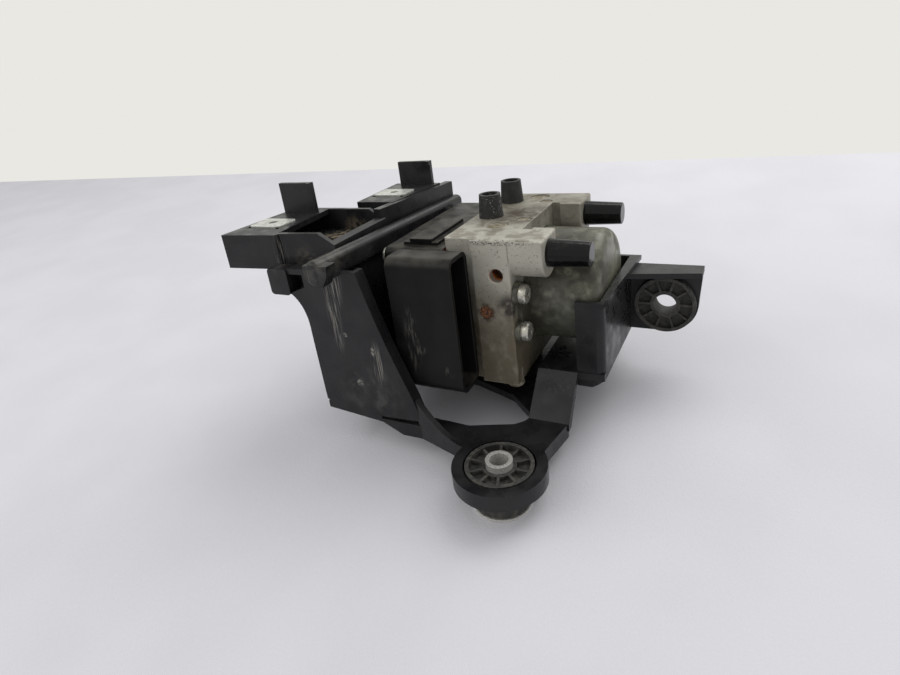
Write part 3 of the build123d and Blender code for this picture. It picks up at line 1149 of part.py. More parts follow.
with BuildPart() as pins:
    with BuildSketch(facing_right(SHROUD_LEFT + SHROUD_FLOOR)):
        with Locations((SHROUD_MID_Y, SHROUD_MID_Z)):
            with GridLocations(PIN_ROW_PITCH, PIN_PITCH, PIN_ROWS, PINS_PER_ROW):
                Rectangle(PIN_SIZE, PIN_SIZE)
    extrude(amount=PIN_LENGTH)
pins.part.label = "connector_pins"
export_step(pins.part, "parts/connector_pins.step")

# %% Front isolator: steel sleeve, loose washer and slotted rubber
with BuildPart() as front_sleeve:
    with BuildSketch(facing_up(WASHER_THICK)):
        Circle(SLEEVE_RADIUS)
        Circle(SLEEVE_BORE, mode=Mode.SUBTRACT)
    extrude(amount=SLEEVE_LENGTH - WASHER_THICK)
front_sleeve.part.label = "front_isolator_sleeve"
export_step(front_sleeve.part, "parts/front_isolator_sleeve.step")

with BuildPart() as front_washer:
    with BuildSketch(facing_up(0)):
        Circle(WASHER_RADIUS)
        Circle(SLEEVE_BORE, mode=Mode.SUBTRACT)
    extrude(amount=WASHER_THICK)
    fillet(front_washer.faces().sort_by(Axis.Z)[0].outer_wire().edges(), WASHER_THICK / 3)
front_washer.part.label = "front_isolator_washer"
export_step(front_washer.part, "parts/front_isolator_washer.step")

with BuildPart() as front_rubber:
    for floor, radius, height in (
        (EYE_WEB, RUBBER_RADIUS, RUBBER_FLANGE),
        (EYE_WEB_BOTTOM, RUBBER_NECK, WALL),
        (WASHER_THICK, RUBBER_FOOT_RADIUS, EYE_WEB_BOTTOM - WASHER_THICK),
    ):
        with BuildSketch(facing_up(floor)):
            Circle(radius)
        extrude(amount=height)
    with BuildSketch(facing_up(WASHER_THICK)):
        Circle(SLEEVE_RADIUS)
    extrude(amount=SLEEVE_LENGTH, mode=Mode.SUBTRACT)
    with BuildSketch(facing_up(BASE_TOP)):
        Circle(POCKET_RIM)
    extrude(amount=-SPOKE_DROP, mode=Mode.SUBTRACT)
    with BuildSketch(facing_up(BASE_TOP - SPOKE_DROP)):
        Circle(POCKET_RIM)
        Circle(POCKET_HUB, mode=Mode.SUBTRACT)
        with PolarLocations(SPOKE_MIDDLE, RUBBER_SPOKES):
            Rectangle(SPOKE_LENGTH, SPOKE_WIDTH, mode=Mode.SUBTRACT)
    extrude(amount=-POCKET_DEPTH, mode=Mode.SUBTRACT)
front_rubber.part.label = "front_isolator_rubber"
export_step(front_rubber.part, "parts/front_isolator_rubber.step")

# %% Side isolator: the same rubber in the tab, with no sleeve left in it
with BuildPart() as side_rubber:
    for face, radius, depth in (
        (TAB_FRONT - RUBBER_FLANGE, RUBBER_RADIUS, RUBBER_FLANGE),
        (TAB_FRONT, RUBBER_NECK, TAB_THICK),
        (TAB_FRONT + TAB_THICK, RUBBER_RADIUS, RUBBER_FLANGE),
    ):
        with BuildSketch(facing_front(face)):
            with Locations((SIDE_X, SIDE_Z)):
                Circle(radius)
        extrude(amount=-depth)
    with BuildSketch(facing_front(TAB_FRONT - RUBBER_FLANGE)):
        with Locations((SIDE_X, SIDE_Z)):
            Circle(SIDE_BORE)
    extrude(amount=-TAB_THICK - 2 * RUBBER_FLANGE, mode=Mode.SUBTRACT)
    with BuildSketch(facing_front(TAB_FRONT - RUBBER_FLANGE)):
        with Locations((SIDE_X, SIDE_Z)):
            Circle(POCKET_RIM)
            Circle(SIDE_BORE, mode=Mode.SUBTRACT)
    extrude(amount=-SPOKE_DROP, mode=Mode.SUBTRACT)
    with BuildSketch(facing_front(TAB_FRONT - RUBBER_FLANGE + SPOKE_DROP)):
        with Locations((SIDE_X, SIDE_Z)):
            Circle(POCKET_RIM)
            Circle(POCKET_HUB, mode=Mode.SUBTRACT)
            with PolarLocations(SPOKE_MIDDLE, RUBBER_SPOKES):
                Rectangle(SPOKE_LENGTH, SPOKE_WIDTH, mode=Mode.SUBTRACT)
    extrude(amount=-POCKET_DEPTH, mode=Mode.SUBTRACT)
side_rubber.part.label = "side_isolator_rubber"
export_step(side_rubber.part, "parts/side_isolator_rubber.step")

# %% Studs and rubber pads that stand the block on the base
with BuildPart() as studs:
    with BuildSketch(facing_up(BASE_TOP)):
        with Locations(*STUD_PLACES):
            Circle(STUD_RADIUS)
    extrude(amount=BLOCK_BOTTOM + STUD_BITE - BASE_TOP)
studs.part.label = "block_studs"
export_step(studs.part, "parts/block_studs.step")

with BuildPart() as pads:
    with BuildSketch(facing_up(BASE_TOP)):
        with Locations(*STUD_PLACES):
            Circle(PAD_RADIUS)
            Circle(STUD_RADIUS, mode=Mode.SUBTRACT)
    extrude(amount=BLOCK_BOTTOM - BASE_TOP)
pads.part.label = "block_isolator_pads"
export_step(pads.part, "parts/block_isolator_pads.step")

# %% Gussets of the carrier: plates whose inner edge is turned back
with BuildPart() as front_gusset:
    with BuildSketch(facing_front(GUSSET_FRONT)):
        with BuildLine():
            Spline(*GUSSET_INNER)
            Polyline(GUSSET_INNER[-1], *GUSSET_FOOT, GUSSET_FLARE[0])
            Spline(*GUSSET_FLARE)
            Polyline(GUSSET_FLARE[-1], *GUSSET_CREST, GUSSET_INNER[0])
        make_face()
    extrude(amount=-GUSSET_RETURN)
    fillet(front_gusset.faces().sort_by(Axis.X)[-1].edges().sort_by(Axis.Y)[0], GUSSET_ROLL)
    with BuildSketch(facing_front(GUSSET_FRONT + WALL)):
        with BuildLine():
            Spline(*GUSSET_RETURN_EDGE)
            Polyline(GUSSET_RETURN_EDGE[-1], *GUSSET_BEHIND, GUSSET_RETURN_EDGE[0])
        make_face()
    extrude(amount=-GUSSET_RETURN, mode=Mode.SUBTRACT)

with BuildPart() as back_gusset:
    with BuildSketch(facing_front(CARRIER_BACK - GUSSET_RETURN)):
        with BuildLine():
            Spline(*GUSSET_BACK_INNER)
            Polyline(GUSSET_BACK_INNER[-1], *GUSSET_FOOT, GUSSET_FLARE[0])
            Spline(*GUSSET_FLARE)
            Polyline(GUSSET_FLARE[-1], *GUSSET_CREST, GUSSET_BACK_INNER[0])
        make_face()
    extrude(amount=-GUSSET_RETURN)
    with BuildSketch(facing_front(CARRIER_BACK - GUSSET_RETURN)):
        with BuildLine():
            Spline(*BACK_RETURN_EDGE)
            Polyline(BACK_RETURN_EDGE[-1], *GUSSET_BEHIND, BACK_RETURN_EDGE[0])
        make_face()
    extrude(amount=WALL - GUSSET_RETURN, mode=Mode.SUBTRACT)

# %% Moulded carrier
with BuildPart() as carrier:
    # base plate with a skirt round its underside, and the eye of the front isolator
    with BuildSketch(facing_up(BASE_BOTTOM)) as base_outline:
        with BuildLine():
            Polyline(*BASE_POINTS, close=True)
        make_face()
        fillet(base_outline.vertices(), BASE_CORNER)
        Circle(EYE_RADIUS)
    extrude(amount=SKIRT_DEPTH)
    with BuildSketch(facing_up(BASE_BOTTOM)):
        with BuildLine():
            Polyline(*BASE_POINTS, close=True)
        make_face()
        offset(amount=-WALL)
        Circle(EYE_RADIUS, mode=Mode.SUBTRACT)
    extrude(amount=SKIRT_DEPTH - BASE_PLATE, mode=Mode.SUBTRACT)
    with BuildSketch(facing_up(EYE_WEB)):
        Circle(RUBBER_RADIUS + EYE_RIM_GAP)
    extrude(amount=RUBBER_FLANGE, mode=Mode.SUBTRACT)
    with BuildSketch(facing_up(BASE_BOTTOM)):
        Circle(RUBBER_FOOT_RADIUS + EYE_RIM_GAP)
    extrude(amount=EYE_WEB_BOTTOM - BASE_BOTTOM, mode=Mode.SUBTRACT)
    with BuildSketch(facing_up(BASE_BOTTOM)):
        Circle(RUBBER_NECK)
    extrude(amount=SKIRT_DEPTH, mode=Mode.SUBTRACT)
    # the base's left end, raised clear of the ground
    with BuildSketch(facing_front(GUSSET_FRONT)):
        with BuildLine():
            Polyline(*FLOOR_BOTTOM, (BASE_LEFT - WALL, BASE_TOP), (BASE_LEFT - WALL, BASE_BOTTOM), close=True)
        make_face()
    extrude(amount=GUSSET_FRONT - CARRIER_BACK, mode=Mode.SUBTRACT)
    with BuildSketch(facing_front(GUSSET_FRONT)):
        with BuildLine():
            Polyline(
                *FLOOR_BOTTOM[1:],
                *[(edge_x, edge_z + BASE_PLATE) for edge_x, edge_z in reversed(FLOOR_BOTTOM[1:])],
                close=True,
            )
        make_face()
    extrude(amount=GUSSET_FRONT - CARRIER_BACK)
    # window in the base, under the valve block and the connector
    with BuildSketch(facing_up(BASE_BOTTOM)) as window:
        with BuildLine():
            Polyline(*WINDOW_POINTS, close=True)
        make_face()
        fillet(window.vertices(), WINDOW_CORNER)
    extrude(amount=2 * SKIRT_DEPTH, mode=Mode.SUBTRACT)
    # gussets at the front and back, and the wall that leads from the front one to the eye
    add(front_gusset.part)
    add(back_gusset.part)
    # web between the gussets, under the rail, and the rib behind the lug
    with BuildSketch(facing_up(BASE_TOP + FLOOR_RISE)):
        with BuildLine():
            Polyline(*WEB_POINTS, close=True)
        make_face()
    extrude(amount=SHELF_TOP - BASE_TOP - FLOOR_RISE)
    with BuildSketch(facing_front(LUG_FRONT + LUG_DEPTH)):
        with BuildLine():
            Polyline(*LUG_RIB_POINTS, close=True)
        make_face()
    extrude(amount=-WALL)
    with BuildSketch(SKIRT_WALL_PLANE):
        with BuildLine():
            Spline(*SKIRT_WALL_TOP)
            Polyline(SKIRT_WALL_TOP[-1], *SKIRT_WALL_FOOT, SKIRT_WALL_TOP[0])
        make_face()
    extrude(amount=-WALL)
    # arm: ramp, trough, post, wall with its flange, and the tab of the side isolator
    with BuildSketch(facing_right(TROUGH_LEFT)):
        with BuildLine():
            Polyline(*RAMP_POINTS, close=True)
        make_face()
    extrude(amount=BASE_RIGHT + BASE_FLARE - TROUGH_LEFT)
    with BuildSketch(facing_up(TROUGH_TOP - BASE_PLATE)):
        with BuildLine():
            Polyline(*TROUGH_POINTS, close=True)
        make_face()
    extrude(amount=BASE_PLATE)
    with BuildSketch(facing_up(BASE_TOP - BASE_PLATE)):
        with Locations((TROUGH_LEFT + WALL / 2, (RAMP_BACK + CARRIER_BACK) / 2)):
            Rectangle(WALL, CARRIER_BACK - RAMP_BACK)
    extrude(amount=TROUGH_TOP - BASE_TOP)
    with BuildSketch(facing_up(ARM_BOTTOM)) as arm_outline:
        with BuildLine():
            Polyline(*ARM_POINTS, close=True)
        make_face()
        fillet(arm_outline.vertices().sort_by_distance(POST_CORNER)[0], POST_ROUND)
        fillet(arm_outline.vertices().sort_by_distance(POST_CORNER_INSIDE)[0], POST_ROUND - ARM_WALL_THICK)
    extrude(amount=ARM_TOP - ARM_BOTTOM)
    with BuildSketch(facing_up(ARM_TOP - ARM_WALL_THICK)):
        with BuildLine():
            Polyline(*FLANGE_POINTS, close=True)
        make_face()
    extrude(amount=ARM_WALL_THICK)
    with BuildSketch(facing_front(ARM_FRONT)):
        with BuildLine():
            Polyline(
                (ARM_BEVEL_LEFT, BASE_TOP),
                (ARM_BACK_X, BASE_TOP),
                (ARM_BACK_X, ARM_BEVEL_TOP),
                (ARM_BEVEL_LEFT, ARM_BEVEL_TOP - WALL - BASE_PLATE),
                close=True,
            )
        make_face()
    extrude(amount=ARM_FRONT - CARRIER_BACK, mode=Mode.SUBTRACT)
    with BuildSketch(facing_front(TAB_FRONT)):
        with BuildLine():
            Polyline(*TAB_POINTS, close=True)
        make_face()
        with Locations((SIDE_X, SIDE_Z)):
            Circle(RUBBER_RADIUS + EYE_RIM_GAP)
    extrude(amount=-TAB_THICK)
    with BuildSketch(facing_front(TAB_FRONT)):
        with Locations((SIDE_X, SIDE_Z)):
            Circle(RUBBER_NECK)
    extrude(amount=-TAB_THICK, mode=Mode.SUBTRACT)
    with BuildSketch(facing_up(TAB_TOP - TAB_LIP)):
        with BuildLine():
            Polyline(*LIP_POINTS, close=True)
        make_face()
    extrude(amount=TAB_LIP)
    # left holder: front tray, its right end sloping down to the rail
    with BuildSketch(facing_up(DECK_TOP - DECK_DEPTH)):
        with BuildLine():
            Polyline(*TRAY_POINTS, close=True)
        make_face()
        offset(amount=-HOLDER_WALL, mode=Mode.SUBTRACT)
    extrude(amount=DECK_DEPTH)
    with BuildSketch(facing_up(TRAY_FLOOR - DECK_SKIN)):
        with BuildLine():
            Polyline(*TRAY_POINTS, close=True)
        make_face()
        with Locations(CUP_PLACE):
            Circle(CUP_RADIUS, mode=Mode.SUBTRACT)
    extrude(amount=DECK_SKIN)
    with BuildSketch(facing_front(0)):
        with BuildLine():
            Polyline(*TRAY_SLOPE_POINTS, close=True)
        make_face()
    extrude(amount=-TRAY_BACK, mode=Mode.SUBTRACT)
    # rail along the top, with its hooked nose, the fence behind it and the shelf below
    with BuildSketch(RAIL_PLANE):
        with Locations((RAIL_WIDTH / 2, -RAIL_HEIGHT / 2)):
            RectangleRounded(RAIL_WIDTH, RAIL_HEIGHT, RAIL_ROUND)
    extrude(amount=RAIL_LENGTH)
    rail_end = carrier.faces(Select.LAST).sort_by(Axis.Y)[0]
    fillet(rail_end.edges(), SHEET_CORNER)
    with BuildSketch(facing_front(RAIL_FRONT[1])):
        with BuildLine():
            Polyline(*NOSE_POINTS, close=True)
        make_face()
    extrude(amount=-NOSE_THICK)
    with BuildSketch(FENCE_PLANE):
        with Locations((FENCE_WIDTH / 2, -FENCE_HEIGHT / 2)):
            Rectangle(FENCE_WIDTH, FENCE_HEIGHT)
    extrude(amount=FENCE_LENGTH)
    with BuildSketch(facing_up(SHELF_TOP - DECK_SKIN)):
        with BuildLine():
            Polyline(*SHELF_POINTS, close=True)
        make_face()
    extrude(amount=DECK_SKIN)
    # decks that carry the clip nuts, hooks and the lug under the tray
    with BuildSketch(facing_up(DECK_TOP - DECK_SKIN)):
        with BuildLine():
            Polyline(*DECK_POINTS, close=True)
        make_face()
    extrude(amount=DECK_SKIN)
    with BuildSketch(facing_up(DECK_TOP - DECK_DEPTH)):
        with BuildLine():
            Polyline(*REAR_DECK_POINTS, close=True)
        make_face()
    extrude(amount=DECK_DEPTH)
    with BuildSketch(facing_up(DECK_TOP - DECK_DEPTH)):
        with BuildLine():
            Polyline(*REAR_DECK_POINTS, close=True)
        make_face()
        offset(amount=-HOLDER_WALL)
    extrude(amount=DECK_DEPTH - DECK_SKIN, mode=Mode.SUBTRACT)
    for hook_left, hook_y, hook_height in HOOKS:
        with BuildSketch(facing_up(DECK_TOP - DECK_SKIN)):
            with Locations((hook_left + TAB_WIDTH / 2, hook_y + HOOK_THICK / 2)):
                Rectangle(TAB_WIDTH, HOOK_THICK)
        extrude(amount=DECK_SKIN + hook_height)
        with BuildSketch(facing_up(DECK_TOP + hook_height - HOOK_THICK)):
            with Locations((hook_left + TAB_WIDTH - HOOK_THICK / 2, hook_y)):
                Rectangle(HOOK_THICK, HOOK_THICK)
        extrude(amount=HOOK_THICK)
    with BuildSketch(facing_front(LUG_FRONT)):
        with Locations(LUG_PLACE):
            RectangleRounded(LUG_WIDTH, LUG_HEIGHT, SHEET_CORNER)
    extrude(amount=-LUG_DEPTH)
    # slots that the clip nuts are pushed through
    for clip_x, clip_y in CLIPS:
        with BuildSketch(facing_up(DECK_TOP)):
            with Locations((clip_x, clip_y)):
                Circle(CLIP_COLLAR + CLIP_THICK)
            with Locations((clip_x, clip_y - CLIP_WIDTH / 2 - CLIP_THICK)):
                Rectangle(CLIP_LENGTH + CLIP_THICK, 3 * CLIP_THICK)
        extrude(amount=-DECK_SKIN, mode=Mode.SUBTRACT)
    # the moulding is written as simple solids that meet face to face
    for level in SEAM_LEVELS:
        split(bisect_by=facing_up(level), keep=Keep.BOTH)
    for column in SEAM_COLUMNS:
        split(bisect_by=facing_right(column), keep=Keep.BOTH)
    for depth in SEAM_DEPTHS:
        split(bisect_by=facing_front(depth), keep=Keep.BOTH)
carrier.part.label = "carrier"
export_step(carrier.part, "parts/carrier.step")

# %% Spring-steel clip nuts on the two decks
for place, (clip_x, clip_y) in zip(("front", "rear"), CLIPS):
    with BuildPart() as clip_nut:
        for leaf in (DECK_TOP, DECK_TOP - DECK_SKIN - CLIP_THICK):
            with BuildSketch(facing_up(leaf)):
                with Locations((clip_x, clip_y)):
                    RectangleRounded(CLIP_LENGTH, CLIP_WIDTH, SHEET_CORNER)
            extrude(amount=CLIP_THICK)
        with BuildSketch(facing_up(DECK_TOP - DECK_SKIN - CLIP_THICK)):
            with Locations((clip_x, clip_y - CLIP_WIDTH / 2 - CLIP_THICK / 2)):
                Rectangle(CLIP_LENGTH - 2 * SHEET_CORNER, CLIP_THICK)
        extrude(amount=DECK_SKIN + 2 * CLIP_THICK)
        with BuildSketch(facing_up(DECK_TOP)):
            with Locations((clip_x, clip_y)):
                Circle(CLIP_COLLAR)
        extrude(amount=-DECK_SKIN - CLIP_COLLAR_HEIGHT)
        with BuildSketch(facing_up(DECK_TOP + CLIP_THICK)):
            with Locations((clip_x, clip_y)):
                Circle(CLIP_BORE)
        extrude(amount=-DECK_SKIN - CLIP_COLLAR_HEIGHT - CLIP_THICK, mode=Mode.SUBTRACT)
    clip_nut.part.label = f"{place}_clip_nut"
    export_step(clip_nut.part, f"parts/{place}_clip_nut.step")
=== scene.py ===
# %% [markdown]
# An anti-lock brake module: a cast valve block with a pump motor on one side and
# an electronic control unit on the other, held by rubber isolators in a moulded
# bracket. The solids come from the imported model. This lesson gives each of them
# the finish of the real thing, gives each spring its own mesh, and lights it.

from math import radians

import bpy
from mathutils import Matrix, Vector


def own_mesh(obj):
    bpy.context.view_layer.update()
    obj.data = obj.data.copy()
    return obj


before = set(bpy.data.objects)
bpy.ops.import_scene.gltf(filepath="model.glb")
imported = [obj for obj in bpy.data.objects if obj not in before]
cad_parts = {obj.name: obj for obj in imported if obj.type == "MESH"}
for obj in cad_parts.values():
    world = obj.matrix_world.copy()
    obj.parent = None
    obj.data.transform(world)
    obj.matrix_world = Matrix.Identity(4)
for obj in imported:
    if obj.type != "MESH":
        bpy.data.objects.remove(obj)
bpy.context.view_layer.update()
MM = 0.001

# %% [markdown]
# Colours are written as they look on screen, in sRGB hex, and one function turns
# them into the linear values that shaders add up. One more function adds a shader
# node: its settings by name, and its sockets as values or as links.


# %% Helpers for colours and shader nodes
def linear(hex_colour):
    """Linear RGBA of an sRGB hex colour such as "#8A8A80"."""
    parts = [int(hex_colour[i : i + 2], 16) / 255 for i in (1, 3, 5)]
    return [p / 12.92 if p <= 0.04045 else ((p + 0.055) / 1.055) ** 2.4 for p in parts] + [1.0]


def add(tree, kind, inputs=None, **settings):
    """Adds a node; inputs maps a socket's name or number to a value or to another node's output."""
    made = tree.nodes.new(kind)
    for setting, value in settings.items():
        setattr(made, setting, value)
    for socket, value in (inputs or {}).items():
        if isinstance(value, bpy.types.NodeSocket):
            tree.links.new(value, made.inputs[socket])
        else:
            made.inputs[socket].default_value = value
    return made


def finish(name, colour, roughness, metallic=0.0, specular=0.5):
    """A material with a uniform shader; returns it, its tree, its shader and Object coordinates."""
    material = bpy.data.materials.new(name)
    material.use_nodes = True
    tree = material.node_tree
    shader = tree.nodes["Principled BSDF"]
    shader.inputs["Base Color"].default_value = linear(colour)
    shader.inputs["Roughness"].default_value = roughness
    shader.inputs["Metallic"].default_value = metallic
    shader.inputs["Specular IOR Level"].default_value = specular
    place = add(tree, "ShaderNodeTexCoord").outputs["Object"]
    return material, tree, shader, place


# %% [markdown]
# Dirt, rust and wear are all masks: a number from 0 to 1 at each point of the
# surface. Some come from noise of a real size in millimetres, some from the
# distance to a place on the object, some from which way the surface faces, and
# one from how sharply it turns, which finds the edges that get rubbed.


# %% Masks
def blotches(tree, place, size_mm, low, high, detail=3.0, stretch=(1, 1, 1), seed=(0, 0, 0)):
    """1 where noise with features of about size_mm lies above high, 0 below low."""
    moved = add(tree, "ShaderNodeMapping", {"Vector": place, "Scale": stretch, "Location": seed})
    noise = add(
        tree,
        "ShaderNodeTexNoise",
        {"Vector": moved.outputs[0], "Scale": 1 / (size_mm * MM), "Detail": detail},
    )
    ranged = add(
        tree,
        "ShaderNodeMapRange",
        {"Value": noise.outputs["Fac"], "From Min": low, "From Max": high},
        interpolation_type="SMOOTHSTEP",
    )
    return ranged.outputs["Result"]


def spot(tree, place, centre_mm, radius_mm, fade_mm, squeeze=(1, 1, 1)):
    """1 inside a ball round centre_mm, fading out over fade_mm; squeeze above 1 narrows an axis."""
    shift = [-c * MM * s for c, s in zip(centre_mm, squeeze)]
    moved = add(tree, "ShaderNodeMapping", {"Vector": place, "Scale": squeeze, "Location": shift})
    length = add(tree, "ShaderNodeVectorMath", {0: moved.outputs[0]}, operation="LENGTH")
    ranged = add(
        tree,
        "ShaderNodeMapRange",
        {
            "Value": length.outputs["Value"],
            "From Min": radius_mm * MM,
            "From Max": (radius_mm + fade_mm) * MM,
            "To Min": 1.0,
            "To Max": 0.0,
        },
        interpolation_type="SMOOTHSTEP",
    )
    return ranged.outputs["Result"]


def spots(tree, place, *places):
    """The largest of several spots, each given by what spot takes after place."""
    mask = spot(tree, place, *places[0])
    for more in places[1:]:
        mask = either(tree, mask, spot(tree, place, *more))
    return mask


def facing_up(tree, low=0.35, high=0.9):
    """1 on surfaces that face up."""
    normal = add(tree, "ShaderNodeNewGeometry").outputs["Normal"]
    height = add(tree, "ShaderNodeSeparateXYZ", {0: normal}).outputs["Z"]
    ranged = add(tree, "ShaderNodeMapRange", {"Value": height, "From Min": low, "From Max": high})
    return ranged.outputs["Result"]


def rubbed_edges(tree, radius_mm, low=0.01, high=0.12):
    """1 along sharp edges, within about radius_mm of them."""
    soft = add(tree, "ShaderNodeBevel", {"Radius": radius_mm * MM}, samples=4).outputs["Normal"]
    true = add(tree, "ShaderNodeNewGeometry").outputs["Normal"]
    same = add(tree, "ShaderNodeVectorMath", {0: soft, 1: true}, operation="DOT_PRODUCT")
    ranged = add(
        tree,
        "ShaderNodeMapRange",
        {"Value": same.outputs["Value"], "From Min": 1 - low, "From Max": 1 - high},
    )
    return ranged.outputs["Result"]


def both(tree, first, second):
    """The product of two masks."""
    return add(tree, "ShaderNodeMath", {0: first, 1: second}, operation="MULTIPLY").outputs[0]


def either(tree, first, second):
    """The larger of two masks."""
    return add(tree, "ShaderNodeMath", {0: first, 1: second}, operation="MAXIMUM").outputs[0]


def layer(tree, under, colour, mask, strength=1.0):
    """A colour laid over another where the mask is 1."""
    amount = add(tree, "ShaderNodeMath", {0: mask, 1: strength}, operation="MULTIPLY").outputs[0]
    mixed = add(
        tree,
        "ShaderNodeMix",
        {"Factor": amount, 6: under, 7: linear(colour)},
        data_type="RGBA",
    )
    return mixed.outputs[2]


def wire(tree, shader, colour=None, rough_mask=None, rough=(0.4, 0.6), bumps=(), soften_mm=0.0):
    """Links a colour, a roughness that follows a mask, and bumps as (height, depth in mm)."""
    if colour is not None:
        tree.links.new(colour, shader.inputs["Base Color"])
    if rough_mask is not None:
        ranged = add(
            tree,
            "ShaderNodeMapRange",
            {"Value": rough_mask, "To Min": rough[0], "To Max": rough[1]},
        )
        tree.links.new(ranged.outputs["Result"], shader.inputs["Roughness"])
    normal = None
    if soften_mm:
        rounded = add(tree, "ShaderNodeBevel", {"Radius": soften_mm * MM}, samples=4)
        normal = rounded.outputs["Normal"]
    for height, depth_mm in bumps:
        bump = add(tree, "ShaderNodeBump", {"Height": height, "Distance": depth_mm * MM})
        if normal is not None:
            tree.links.new(normal, bump.inputs["Normal"])
        normal = bump.outputs["Normal"]
    if normal is not None:
        tree.links.new(normal, shader.inputs["Normal"])


def dress(material, *nodes):
    """Gives a finish to CAD nodes by name."""
    for name in nodes:
        for slot in bpy.data.objects[name].material_slots:
            slot.material = material
    print(material.name, "->", ", ".join(nodes))


# %% [markdown]
# The valve block is an aluminium forging with machined faces, dulled by road salt
# and brake dust. It is lighter on rubbed edges, brown on top where dirt settles,
# speckled with dark grit along the top front edge, and rusty round the screwed
# hole and the pressed-in plug, where steel has bled onto it. The rust low in the
# hole is painted bright as light, and painted shade darkens the notch by the screws.

# %% Valve block
FRONT_FACE = 45.0
FIXING_HOLE = (-13.2, FRONT_FACE, 96.3)
HOLE_MIDDLE = (FIXING_HOLE[0], FRONT_FACE + 7.0, FIXING_HOLE[2])
HOLE_LOW_SIDE = (FIXING_HOLE[0] - 1.0, FRONT_FACE + 2.2, FIXING_HOLE[2] - 1.8)
PUMP_PLUG = (-20.2, FRONT_FACE, 76.3)
FOOT_OF_FRONT = (-20, FRONT_FACE, 34)
TOP_OF_FRONT = (-8, FRONT_FACE, 118)
TOP_FRONT_EDGE = (-14, FRONT_FACE + 1.0, 113.6)
BESIDE_SCREWS = (-7.0, FRONT_FACE, 80.5)
OIL_STAIN = (-10, 92, 113)

block_metal, tree, shader, place = finish("Machined aluminium, weathered", "#938F82", 0.45, 0.3)
colour = layer(tree, linear("#807C70"), "#969285", blotches(tree, place, 14, 0.4, 0.65))
colour = layer(tree, colour, "#6F6A5C", blotches(tree, place, 5, 0.5, 0.72, seed=(3, 1, 2)), 0.55)
low_down = spot(tree, place, FOOT_OF_FRONT, 20, 34, (0.4, 1, 0.8))
low_down = both(tree, low_down, blotches(tree, place, 9, 0.2, 0.55))
colour = layer(tree, colour, "#5C523F", low_down, 0.8)
high_up = spot(tree, place, TOP_OF_FRONT, 20, 18, (0.5, 1, 1))
colour = layer(tree, colour, "#B5B2A6", high_up, 0.7)
dirt = both(tree, facing_up(tree), blotches(tree, place, 7, 0.45, 0.62, 5.0))
colour = layer(tree, colour, "#5B523E", dirt, 0.6)
oil = both(tree, facing_up(tree), spot(tree, place, OIL_STAIN, 9, 16))
oil = both(tree, oil, blotches(tree, place, 4, 0.3, 0.55))
colour = layer(tree, colour, "#3A2C1B", oil, 0.85)
grit_line = spot(tree, place, TOP_FRONT_EDGE, 1.2, 1.2, (0.08, 1, 1))
grit = both(tree, grit_line, blotches(tree, place, 0.9, 0.5, 0.58, 2.0))
colour = layer(tree, colour, "#1E1A14", grit, 0.9)
colour = layer(tree, colour, "#C9C5B8", rubbed_edges(tree, 0.7), 0.5)
pits = blotches(tree, place, 0.9, 0.62, 0.72, 2.0, seed=(5, 5, 5))
colour = layer(tree, colour, "#4C473A", pits, 0.6)
rust_ring = spot(tree, place, FIXING_HOLE, 3.2, 0.9)
rust_ring = both(tree, rust_ring, blotches(tree, place, 2.0, 0.35, 0.55))
colour = layer(tree, colour, "#8A4B20", rust_ring, 0.8)
in_hole = spot(tree, place, HOLE_MIDDLE, 6.6, 0.4, (1.8, 1, 1.8))
colour = layer(tree, colour, "#7A4016", in_hole, 0.95)
# Rust on the hole's lower side, painted brighter orange to stand in for the light falling on it.
rust_and_painted_light = both(tree, in_hole, spot(tree, place, HOLE_LOW_SIDE, 3.0, 1.4))
colour = layer(tree, colour, "#F0934A", rust_and_painted_light, 0.95)
bleed = both(tree, spot(tree, place, PUMP_PLUG, 4.0, 2.2), blotches(tree, place, 3, 0.3, 0.6))
colour = layer(tree, colour, "#3C2E20", bleed, 0.8)
# Painted shade: a near-black patch darkens the notch beside the motor's screws.
painted_shade_by_screws = spot(tree, place, BESIDE_SCREWS, 3.0, 6.0)
painted_shade_by_screws = both(tree, painted_shade_by_screws, blotches(tree, place, 4, 0.3, 0.55))
colour = layer(tree, colour, "#211C14", painted_shade_by_screws, 0.9)
wire(
    tree,
    shader,
    colour,
    blotches(tree, place, 6, 0.35, 0.7),
    (0.36, 0.58),
    [(blotches(tree, place, 0.8, 0.3, 0.7), 0.05), (pits, -0.12)],
    0.6,
)
dress(block_metal, "hydraulic_block")

# %% [markdown]
# The plugs that close the drillings are softer, brighter metal, staked into the
# block and stained by the same dirt. The pump bore's plug is steel and rusts.

# %% Plugs
plug_metal, tree, shader, place = finish("Staked aluminium plug", "#8F8A78", 0.5, 0.4)
stain = blotches(tree, place, 2.5, 0.35, 0.65, 4.0)
colour = layer(tree, linear("#9A9482"), "#5F543E", stain, 0.8)
wire(tree, shader, colour, stain, (0.4, 0.65), [(stain, 0.06)], 0.4)
dress(plug_metal, "staked_top_plugs", "drain_plug", "front_accumulator_cap", "rear_accumulator_cap")

rusty, tree, shader, place = finish("Rusted steel plug", "#6A4630", 0.7, 0.3)
flakes = blotches(tree, place, 1.4, 0.35, 0.65, 5.0)
colour = layer(tree, linear("#3C2A20"), "#8B5A38", flakes)
bright_bits = blotches(tree, place, 0.8, 0.6, 0.68, seed=(2, 7, 4))
colour = layer(tree, colour, "#A8917A", bright_bits, 0.7)
wire(tree, shader, colour, flakes, (0.55, 0.8), [(flakes, 0.15)])
dress(rusty, "pump_bore_plugs")

# %% [markdown]
# The motor can is drawn steel with a dull yellow-green zinc film. Dirt has washed
# down it in soft patches, and it is darker in patches near the block. Painted shade
# darkens the shaded side, and painted light makes the lit side paler.

# %% Motor can
NEAR_BLOCK = (0, 64, 92)
SHADED_SIDE = (10, 70, 50)
LIT_SIDE = (14, 63, 72)
LOW_SIDE = (16, 62, 58)

